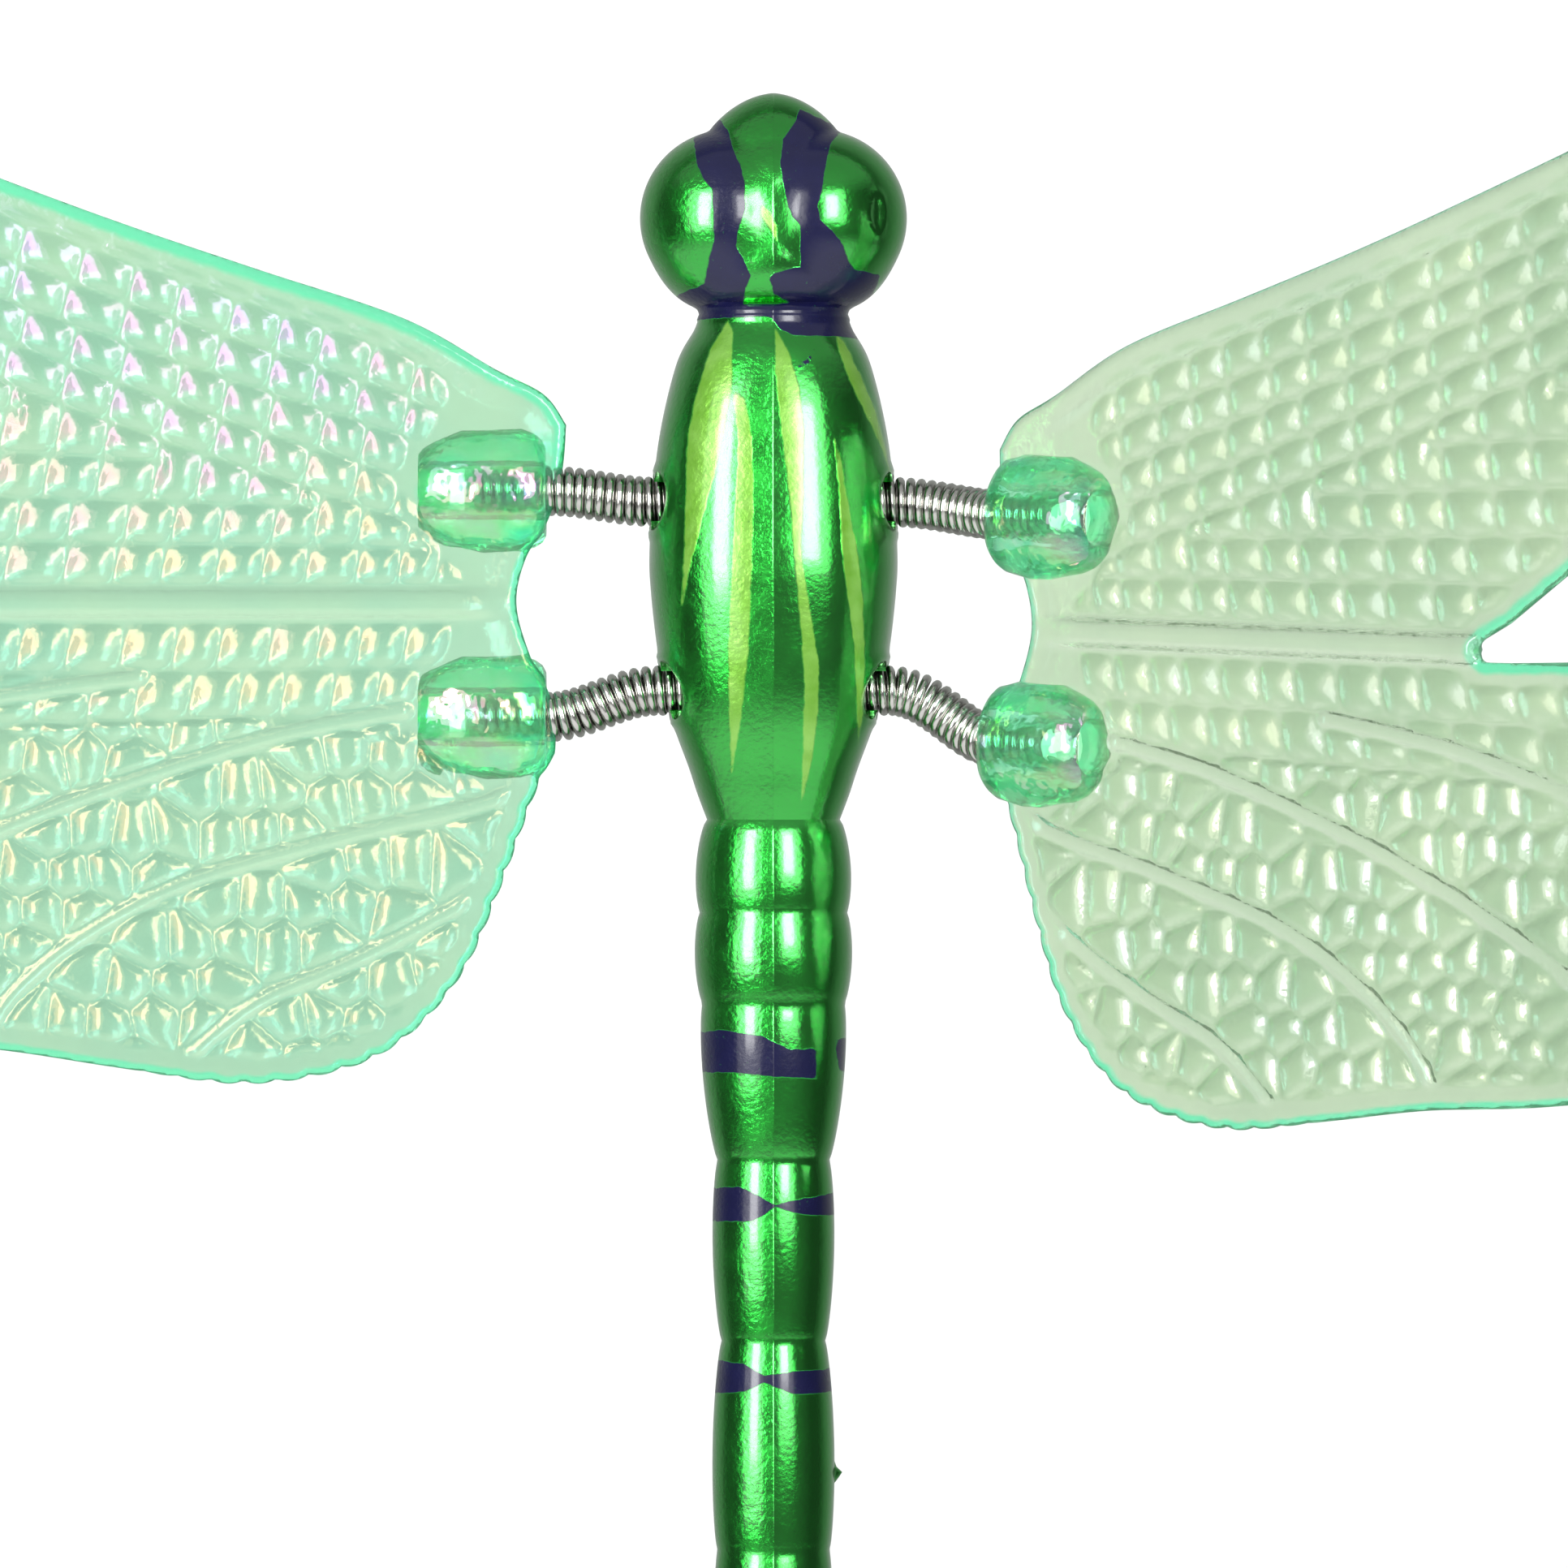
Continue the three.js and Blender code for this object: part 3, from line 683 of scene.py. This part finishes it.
def make_springs(steel):
    for hand, side in (("left", -1), ("right", 1)):
        matrix = wing_matrix(hand)
        for place, sign in (("front", 1), ("rear", -1)):
            line = spring_line(side, sign * SPRING_HOLE_Y, matrix, sign * LUG_PITCH / 2)
            lengths = lengths_along(line)
            total = lengths[-1]
            hole = SPRING["flex_x"] - SPRING["inner_x"]
            mouth = total - SPRING["in_lug"]
            middle = (hole + mouth) / 2
            node = f"spring_{place}_{hand}"
            for half, start, end, bodies, span in (
                ("inner", 0, middle, ("thorax", f"{hand}_springs"), (hole, middle)),
                ("outer", middle, total, (f"{hand}_springs", f"{hand}_wing"), (middle, mouth)),
            ):
                vertices, faces = coil(line, start, end)
                piece = mesh_object(f"{node}_{half}", vertices, faces, steel)
                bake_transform(piece)
                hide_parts(node)


# ---- Wings ----

FINE_STEP = 0.42           # mesh spacing where the wing is seen close up
COARSE_STEP = 0.66         # mesh spacing further out
FINE_U = 66                # how far from the lugs the finer mesh reaches
EDGE_BAND = 2.9            # smooth border between the outline and the first cells
ROW_PITCH = 4.1
UPPER_ROWS = 4             # rows that follow the leading edge
SCALLOP = {"pitch": 3.3, "depth": 0.4}
# Half thicknesses in millimetres: of the plate between its cells and at its rim, and what each feature adds.
RELIEF = {"plate": 0.34, "rim": 0.22, "dome": 0.64, "vein": 0.40, "rib": 0.62, "band": 0.2, "lead_rib": 0.36}
VEINS = [
    [(-0.5, -16.5), (5.8, -19.6), (20, -23), (35.6, -27.5), (46, -33), (52.7, -38.7), (55.5, -44)],
    [(14, -10.5), (26.6, -13), (38, -16.5), (48.9, -20.3), (60, -25), (69.6, -30), (78, -36), (84, -40)],
    [(2.5, -24), (6.8, -28.6), (18.4, -34.9), (28.3, -39.2), (35.2, -44.7), (37, -47)],
    [(40, -7.2), (58, -10), (74, -15), (88, -22), (99, -30), (104, -34)],
]


def plate_outline():
    """The wing's outline, close-set, with the inner trailing edge scalloped."""
    a = np.radians(np.linspace(108, 252, 7))
    notch = np.stack([NOTCH["u"] + NOTCH["radius"] * (1 + np.cos(a)), NOTCH["radius"] * np.sin(a)], 1)
    line = np.concatenate([
        spline(LEADING_EDGE, 12), spline(FORE_TRAILING_EDGE, 12)[1:], notch, spline(HIND_LEADING_EDGE, 12),
        spline(HIND_TRAILING_EDGE, 12)[1:], spline(ROOT_EDGE, 12)[1:-1],
    ])
    closed = np.concatenate([line, line[:1]])
    lengths = lengths_along(closed)
    count = int(lengths[-1] / FINE_STEP)
    s = np.linspace(0, lengths[-1], count, endpoint=False)
    points = np.stack([np.interp(s, lengths, closed[:, k]) for k in range(2)], 1)
    tangent = np.roll(points, -1, 0) - np.roll(points, 1, 0)
    tangent /= np.linalg.norm(tangent, axis=1)[:, None]
    inward = np.stack([tangent[:, 1], -tangent[:, 0]], 1)
    amount = smoothstep(-points[:, 1], 13, 18) * (1 - smoothstep(points[:, 0], 30, 44)) * (points[:, 1] < 0)
    wave = np.abs(np.sin(np.pi * s / SCALLOP["pitch"])) ** 0.7
    return points + inward * (SCALLOP["depth"] * amount * (1 - wave))[:, None]


def plate_points(outline):
    """Grid points inside the outline, finer where the wing is seen close up."""
    low, high = outline.min(0), outline.max(0)
    sets = []
    for step, from_u, to_u in ((FINE_STEP, low[0], FINE_U), (COARSE_STEP, FINE_U, high[0])):
        rows = np.arange(low[1], high[1], step * math.sqrt(3) / 2)
        columns = np.arange(from_u, to_u, step)
        u, v = np.meshgrid(columns, rows)
        u = u + step / 2 * (np.arange(len(rows)) % 2)[:, None]
        sets.append(np.stack([u.ravel(), v.ravel()], 1))
    points = np.concatenate(sets)
    inside = polygon_distance(points, outline)
    keep = inside > FINE_STEP * 0.6
    return points[keep], inside[keep]


def hash01(*values):
    """A repeatable number from 0 to 1 for each whole-number index."""
    total = sum(np.asarray(v, float) * k for v, k in zip(values, (12.9898, 78.233, 37.719)))
    x = np.sin(total) * 43758.5453
    return x - np.floor(x)


def edge_height(points_u):
    leading = spline(LEADING_EDGE[:-1], 12)
    return np.interp(points_u, leading[:, 0], leading[:, 1])


def rise(t):
    """A cell's profile: a steeper flank towards t = -1 and a gentler one towards t = 1."""
    peak = -0.12
    reach = np.where(t > peak, (t - peak) / (1 - peak), (peak - t) / (1 + peak))
    return np.clip(1 - reach ** 2, 0, 1)


def row_cells(u, v, row, lower, upper):
    """Cells along a row: dome height and a cell number."""
    across = (v - lower) / (upper - lower) * 2 - 1
    lean = u + 0.22 * (v - (lower + upper) / 2)
    along_index = 1 / 0.028 * np.log1p(np.maximum(0.028 * (lean - 8), -0.9) / 4.1) + hash01(row)
    along_index = along_index + 0.06 * np.sin(2.1 * along_index + 1.7 * row)
    cell = np.floor(along_index)
    along = (along_index - cell) * 2 - 1
    return rise(across) * rise(along), cell + 64 * row


def fan_seeds():
    """Centres of the irregular cells in the hind wing's fan."""
    pitch = 4.25
    seeds = []
    for j, v in enumerate(np.arange(-52, -5, pitch * 0.87)):
        for i, u in enumerate(np.arange(-6, 126, pitch)):
            jitter = (hash01(i, j) - 0.5, hash01(i + 31, j + 17) - 0.5)
            seeds.append((u + pitch / 2 * (j % 2) + 1.5 * float(jitter[0]), v + 1.3 * float(jitter[1])))
    seeds = np.array(seeds)
    near = np.min([line_distance(seeds, spline(vein, 6)) for vein in VEINS], 0)
    return seeds[near > 1.7]


def fan_cells(points):
    """Rounded polygon cells round the fan's seeds."""
    seeds = fan_seeds()
    dome, cell = np.zeros(len(points)), np.zeros(len(points))
    for start in range(0, len(points), 4000):
        p = points[start:start + 4000]
        distance = np.hypot(p[:, None, 0] - seeds[:, 0], p[:, None, 1] - seeds[:, 1])
        order = np.argpartition(distance, 2, axis=1)[:, :3]
        near = np.take_along_axis(distance, order, 1)
        sort = np.argsort(near, 1)
        order, near = np.take_along_axis(order, sort, 1), np.take_along_axis(near, sort, 1)
        border = (near[:, 1] - near[:, 0]) / 2
        dome[start:start + 4000] = np.clip(border / 1.9, 0, 1)
        cell[start:start + 4000] = order[:, 0]
    return 1 - (1 - dome) ** 2.2, cell + 4096


def relief(points, inside):
    """Half thickness of the plate in millimetres at each point, a cell number and the cell's dome height."""
    u, v = points[:, 0], points[:, 1]
    top = edge_height(u) - EDGE_BAND - 0.6
    base = RIB["width"] / 2 + 0.6
    from_top = (top - v) / ROW_PITCH
    upper_row = np.floor(from_top)
    boundary = top - UPPER_ROWS * ROW_PITCH
    # Rows under the ones that follow the leading edge fan out slowly from the middle rib.
    fan_pitch = 3.75 + 0.016 * (u - 14)
    last_row = np.maximum(np.floor((boundary - base) / fan_pitch - 0.45), 0)
    lower_row = np.minimum(np.floor((v - base) / fan_pitch), last_row)
    is_upper = v > np.maximum(boundary, base)
    upper_low = np.maximum(top - (upper_row + 1) * ROW_PITCH, boundary)
    dome_a, cell_a = row_cells(u, v, upper_row + 20, upper_low, top - upper_row * ROW_PITCH)
    lower_top = np.where(lower_row == last_row, boundary, base + (lower_row + 1) * fan_pitch)
    lower_low = base + lower_row * fan_pitch
    dome_b, cell_b = row_cells(u, v, lower_row + 5, lower_low, np.maximum(lower_top, lower_low + 0.5))
    dome = np.where(is_upper, dome_a, dome_b)
    cell = np.where(is_upper, cell_a, cell_b)
    # Hind wing: three long rows under the middle rib, then the fan.
    hind_pitch = 4.7 + 0.012 * (u - 30)
    hind_base = -base
    hind_row = np.floor((hind_base - v) / hind_pitch)
    hind_low = hind_base - (hind_row + 1) * hind_pitch
    dome_c, cell_c = row_cells(u, v, hind_row + 40, hind_low, hind_base - hind_row * hind_pitch)
    fan_top = np.interp(u, [-5, 10, 30, 60, 120], [-12.5, -14, -11.5, -12.5, -13])
    dome_d, cell_d = fan_cells(points)
    hind = np.where(v > fan_top, dome_c, dome_d)
    hind_cell = np.where(v > fan_top, cell_c, cell_d)
    dome = np.where(v < 0, hind, dome)
    cell = np.where(v < 0, hind_cell, cell)
    # Radiating veins and the ribs stand clear of the cells.
    vein = np.min([line_distance(points, spline(line, 8)) for line in VEINS], 0)
    vein_ridge = 1 - smoothstep(vein, 0.25, 0.95)
    dome = dome * smoothstep(vein, 0.6, 1.5)
    middle = np.where(u < NOTCH["u"] + 4, np.abs(v), 9)
    rib = 1 - smoothstep(middle, 0.3, RIB["width"] / 2 + 0.7)
    dome = dome * smoothstep(middle, base - 0.3, base + 0.5)
    leading = edge_height(u) - v
    clear = smoothstep(inside, EDGE_BAND - 1.0, EDGE_BAND + 0.3)
    root = smoothstep(u - np.interp(v, [-50, -20, -12, 0, 12, 20, 30], [6, 3, 13.5, 6, 14, 9, 9]), 0, 3)
    dome = dome * clear * root
    half = RELIEF["plate"] + RELIEF["dome"] * dome + RELIEF["vein"] * vein_ridge * (1 - dome) * clear
    half = half + RELIEF["rib"] * rib * smoothstep(u, 2, 9)
    smooth_band = (1 - smoothstep(inside, EDGE_BAND - 2, EDGE_BAND + 1)) * RELIEF["band"]
    lead_rib = (1 - smoothstep(leading / 1.08, 0.3, RIB["width"] + 2)) * smoothstep(u, 1, 8)
    half = half + smooth_band + RELIEF["lead_rib"] * lead_rib
    rounding = np.sqrt(np.clip(1 - (1 - np.clip(inside / 0.8, 0, 1)) ** 2, 0, 1))
    return RELIEF["rim"] + (half - RELIEF["rim"]) * rounding, cell, dome


def make_wing_mesh():
    """The plate's flat points, its faces, and each point's edge distance, half thickness, cell and dome."""
    outline = plate_outline()
    points, inside = plate_points(outline)
    rim = len(outline)
    everything = np.concatenate([outline, points])
    inside = np.concatenate([np.zeros(rim), inside])
    edges = [(i, (i + 1) % rim) for i in range(rim)]
    made = delaunay_2d_cdt([Vector(p) for p in everything], edges, [], 1, 1e-6)
    flat = np.array([tuple(p) for p in made[0]])
    triangles = np.array(made[2])
    source = np.array([origin[0] if origin else -1 for origin in made[3]])
    inside = np.where(source >= 0, inside[np.maximum(source, 0)], 0)
    half, cell, dome = relief(flat, inside)
    count = len(flat)
    # The upper face comes first and the lower face after it, point for point.
    faces = [tuple(t) for t in triangles.tolist()] + [tuple(t) for t in (triangles[:, ::-1] + count).tolist()]
    pairs = {}
    for a, b, c in triangles.tolist():
        for edge in ((a, b), (b, c), (c, a)):
            pairs[edge] = True
    for a, b in pairs:
        if (b, a) not in pairs:
            faces.append((b, a, a + count, b + count))
    return flat, faces, inside, half, cell, dome


def lug_mesh():
    """A lug: a barrel with a bore, slightly uneven as the moulding is."""
    length, half_width, half_height = LUG["length"], LUG["half_width"], LUG["half_height"]
    # Shares of the full width and height, and how far along the lug they hold.
    barrel = [
        (0.72, 0), (0.83, 0.35), (0.92, 1.1), (0.98, 2.4), (1, 4.2), (0.99, 6.2), (0.95, 8.3), (0.88, 10),
        (0.78, 11.4), (0.68, 12.2), (0.6, length),
    ]
    bore = BORE_RADIUS
    vertices, rings = [], []
    sides = 72
    profile = [("out", r, h) for r, h in barrel]
    profile += [("in", bore, h) for h in (length - 0.02, 9, 6, 3, 0.6)] + [("in", bore + 0.25, 0)]
    for kind, radius, height in profile:
        rings.append(len(vertices))
        for i in range(sides):
            a = 2 * math.pi * i / sides
            if kind == "out":
                lump = 1 + 0.02 * math.sin(3 * a + height) + 0.012 * math.sin(7 * a - 1.3 * height)
                y = half_width * radius * lump * math.cos(a)
                z = half_height * radius * lump * math.sin(a)
                if height == length:
                    y, z = max(-3.6, min(3.6, y)), max(-3.2, min(3.2, z))
            else:
                y, z = radius * math.cos(a), radius * math.sin(a)
            y = min(max(y, -half_width), half_width)
            z = min(max(z, -half_height), half_height)
            vertices.append((height, y, z))
    faces = []
    for low, high in zip(rings, rings[1:] + rings[:1]):
        faces += [(low + i, low + (i + 1) % sides, high + (i + 1) % sides, high + i) for i in range(sides)]
    return np.array(vertices), faces


def make_wing_material(name, body_colour, deep_and_shade_colour, lit_and_vein_colour):
    n = Nodes(name)
    # A repeatable tone from 0 to 1 for each cell.
    wave = n.math("SINE", n.math("MULTIPLY", n.attribute("cell"), 12.9))
    tone = n.math("FRACT", n.math("MULTIPLY", wave, 437.5))
    tint = n.mix(n.ramp(n.noise(70, 2), 0.35, 0.65), body_colour, deep_and_shade_colour)
    tint = n.mix(n.math("MULTIPLY", tone, 0.25), tint, deep_and_shade_colour)
    # Painted shade and painted light: each cell's slopes are darkened or lightened by which way they face,
    # darker towards the head and lighter towards the tail.
    shade = n.attribute("shade")
    tint = n.mix(n.ramp(shade, 0.02, 0.5, 0, 0.75), tint, tuple(0.72 * c for c in deep_and_shade_colour[:3]) + (1,))
    tint = n.mix(n.ramp(shade, -0.05, -0.45, 0, 0.6), tint, lit_and_vein_colour)
    tint = n.mix(n.ramp(n.attribute("dome"), 0.16, 0.02, 0, 0.4), tint, lit_and_vein_colour)
    # Painted light: a bright mint band along the outline stands in for light piped through the plastic; the
    # same mint deepens the plate near its lugs.
    wobble = n.math("MULTIPLY", n.math("SUBTRACT", n.noise(500, 2), 0.5), 0.25)
    painted_glow_band = n.math("ADD", n.attribute("painted_glow"), wobble)
    colour = n.mix(n.ramp(painted_glow_band, 0.4, 0.62), tint, (0.17, 0.70, 0.42, 1))
    film_and_glint = n.tree.nodes.new("ShaderNodeAttribute")
    film_and_glint.attribute_name = "film_and_glint"
    # Painted highlight: where a cell's skin leans towards the left lamp, the colour becomes the coat's
    # iridescent tint as a painted glint.
    colour = n.mix(n.attribute("painted_glint"), colour, film_and_glint.outputs["Color"])
    n.set(Base_Color=colour, Roughness=n.ramp(n.noise(900, 3), 0.3, 0.7, 0.04, 0.12))
    n.set(Transmission_Weight=0.93, IOR=1.49, Specular_IOR_Level=0.3, Specular_Tint=film_and_glint.outputs["Color"])
    n.bump(n.noise(900, 2), 0.00005)
    return n.material


# Widths of the band painted as glowing light along each part of each wing's outline.
PAINTED_GLOW_WIDTHS = {
    "left": {"leading": 1.25, "trailing": 0.75, "root": 0.8, "notch": 1.2},
    "right": {"leading": 0.3, "trailing": 0.75, "root": 0.4, "notch": 1.1},
}


def painted_edge_glow(points, inside, hand):
    """How deep a point lies in the band painted as glowing light along the outline: 1 at the outline, 0 past
    the band.
    """
    widths = PAINTED_GLOW_WIDTHS[hand]
    u, v = points[:, 0], points[:, 1]
    leading = edge_height(u) - v < 6
    notch = (u > 44) & (v > -3) & ~leading
    root = (u < 6) & ~leading
    chosen = [widths["leading"], widths["notch"], widths["root"]]
    width = np.select([leading, notch, root], chosen, widths["trailing"])
    return np.clip(1 - inside / (2 * width), 0, 1)


def lug_glow(points):
    """The plate's deeper colour close to its lugs, from 0 to 1."""
    past = np.maximum(points[:, 0] - 7, 0)
    near = [np.hypot(past, points[:, 1] - sign * LUG_PITCH / 2) for sign in (-1, 1)]
    return 1 - smoothstep(np.min(near, 0), 4.5, 8.5)


# How far a cell's skin leans towards the wing's tip where a painted highlight, a glint in the coat's
# iridescent tint, is put.
PAINTED_GLINT_LEAN = {"left": 0.27, "right": 0.36}
FLATTER = 0.42             # how much lower the cells' domes are on the face turned down


def film_and_glint_colour(points, hand, facing):
    """The coat's iridescent tint, which also colours the painted glints, on the face turned up (facing 1) and
    on the face turned down (facing 0).
    """
    u, v = points[:, 0], points[:, 1]
    drift = 0.5 + 0.5 * np.sin(u * 0.21 + 1.3 * np.sin(v * 0.17)) * np.cos(v * 0.23 + 0.9 * np.sin(u * 0.11))
    if hand == "left":
        stops = np.array([(0.66, 0.33, 0.85), (0.80, 0.33, 0.58), (0.88, 0.53, 0.32), (0.88, 0.66, 0.36)])
        far_tint = np.array((0.55, 0.80, 1.0))
        along = np.interp(v, [-45, -6, 2, 20, 40], [3, 2.2, 2.0, 0.9, 0]) + 0.9 * (drift - 0.5)
    else:
        stops = np.array([(0.90, 1.0, 0.98), (1.0, 1.0, 0.95), (1.0, 1.0, 0.74), (0.95, 1.0, 0.85)])
        far_tint = np.array((0.5, 0.78, 1.0))
        along = 1.5 + 2.6 * (drift - 0.5)
    along = np.clip(along, 0, 3)
    near = np.stack([np.interp(along, range(4), stops[:, k]) for k in range(3)], 1)
    return np.where(facing[:, None] > 0.5, near, far_tint)


def make_wings():
    flat, faces, inside, half, cell, dome = make_wing_mesh()
    lug_vertices, lug_faces = lug_mesh()
    # Both wings are the same plastic; each hand's own body, deep and pale colours are painted light and shade
    # for how that wing lies.
    painted_tints_per_wing = {
        "left": ((0.37, 0.59, 0.40, 1), (0.30, 0.56, 0.40, 1), (0.47, 0.68, 0.49, 1)),
        "right": ((0.46, 0.60, 0.40, 1), (0.38, 0.53, 0.35, 1), (0.60, 0.69, 0.56, 1)),
    }
    for hand, colours in painted_tints_per_wing.items():
        matrix = wing_matrix(hand)
        # The face turned down has shallower cells than the one turned up.
        upper, lower = (half - FLATTER * dome, half) if hand == "left" else (half, half - FLATTER * dome)
        vertices = np.concatenate([
            np.column_stack([flat, PLATE_MIDDLE + upper]), np.column_stack([flat, PLATE_MIDDLE - lower])])
        material = make_wing_material(f"iridescent_{hand}", *colours)
        plate = mesh_object(f"wing_plate_{hand}", vertices, faces, material, None, 80)
        normals = np.empty(len(vertices) * 3)
        plate.data.vertex_normals.foreach_get("vector", normals)
        normals = normals.reshape(-1, 3)
        plate.data.transform(matrix)
        outer = -1 if hand == "left" else 1
        facing = np.repeat([1.0, 0.0] if outer > 0 else [0.0, 1.0], len(inside))
        # Which way each point's skin faces, kept for the wing material's painted shade and painted light.
        set_attribute(plate, "shade", normals[:, 1] - 0.4 * outer * normals[:, 0])
        set_attribute(plate, "dome", np.tile(dome, 2))
        set_attribute(plate, "cell", np.tile(cell, 2))
        # Painted light along the outline, joined with the deeper colour near the lugs.
        painted_glow = np.maximum(painted_edge_glow(flat, inside, hand), 0.55 * lug_glow(flat))
        set_attribute(plate, "painted_glow", np.tile(painted_glow, 2))
        set_colour(plate, "film_and_glint", film_and_glint_colour(np.tile(flat, (2, 1)), hand, facing))
        # Painted highlight: a glint painted where each cell's skin leans towards the left lamp, on the face
        # turned up of the left wing and on both faces of the right.
        lean = np.hypot(normals[:, 0] - PAINTED_GLINT_LEAN[hand], normals[:, 1] - 0.1)
        on_cells = np.tile(smoothstep(dome, 0.05, 0.2), 2)
        sides = facing if hand == "left" else np.ones(len(facing))
        glint_spread = 0.15 if hand == "left" else 0.28
        set_attribute(plate, "painted_glint", 0.8 * sides * on_cells * (1 - smoothstep(lean, 0.05, glint_spread)))
        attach(plate, f"{hand}_wing")
        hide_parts(f"wing_{hand}")
        plate.visible_shadow = False
        lug_material = make_lug_material(f"lug_{hand}")
        for place, sign in (("front", 1), ("rear", -1)):
            moved = lug_vertices + (0, sign * LUG_PITCH / 2, 0)
            lug = mesh_object(f"wing_lug_{place}_{hand}", moved, lug_faces, lug_material, matrix, 50)
            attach(lug, f"{hand}_wing")
            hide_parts(f"wing_{hand}")
            lug.visible_shadow = False


def make_lug_material(name):
    n = Nodes(name)
    colour = n.mix(n.ramp(n.noise(260, 2), 0.3, 0.7), (0.17, 0.74, 0.40, 1), (0.42, 0.84, 0.56, 1))
    n.set(Base_Color=colour, Roughness=n.ramp(n.noise(900, 3), 0.3, 0.7, 0.03, 0.12))
    n.set(Transmission_Weight=0.94, IOR=1.49, Specular_IOR_Level=0.3)
    n.set(Thin_Film_Thickness=n.ramp(n.noise(120, 2), 0.3, 0.7, 330.0, 470.0), Thin_Film_IOR=1.9)
    n.bump(n.noise(350, 2), 0.0004)
    return n.material


# ---- Small parts ----

def make_plastic(name, dark, light, roughness):
    n = Nodes(name)
    n.set(Base_Color=n.mix(n.noise(400, 4), dark, light),
          Roughness=n.ramp(n.noise(900, 3), 0.3, 0.7, roughness * 0.8, roughness * 1.2))
    n.bump(n.noise(1800, 3), 0.00003)
    return n.material


def make_small_parts():
    dark = make_plastic("dark_plastic", (0.012, 0.02, 0.015, 1), (0.025, 0.035, 0.028, 1), 0.45)
    natural = make_plastic("natural_plastic", (0.62, 0.66, 0.60, 1), (0.74, 0.77, 0.71, 1), 0.35)
    s = SOCKET
    outline = [
        (s["bore"], 0.4), (s["bore"] + 0.4, 0), (s["flange_radius"] - 0.3, 0), (s["flange_radius"], 0.3),
        (s["flange_radius"], s["flange"] - 0.3), (s["flange_radius"] - 0.3, s["flange"]),
        (s["radius"] + 0.3, s["flange"]), (s["radius"], s["flange"] + 0.3), (s["radius"], s["top"] - 0.3),
        (s["radius"] - 0.3, s["top"]), (0, s["top"]), (0, s["depth"]), (s["bore"], s["depth"]),
    ]
    vertices, faces = lathe(outline, 64)
    socket = mesh_object("socket", vertices, faces, dark)
    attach(socket, "thorax")
    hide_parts("stake_socket")
    for name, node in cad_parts.items():
        if name.startswith(("spring_core", "spring_plug")):
            node.data.materials.clear()
            node.data.materials.append(natural)


# ---- Assembly ----

make_camera()
make_world()
make_floor()
softbox("core_left", -30, 11, 0.95, 0.24, 0.64, 7.6)
softbox("spread_left", -33, 9, 1.05, 0.72, 0.95, 5.2)
softbox("core_right", 17, 14, 0.95, 0.22, 0.44, 4.2)
softbox("spread_right", 20, 14, 1.05, 0.5, 0.75, 3.2)
make_body()
make_springs(make_steel())
make_wings()
make_small_parts()
bpy.context.scene.view_settings.view_transform = "Standard"
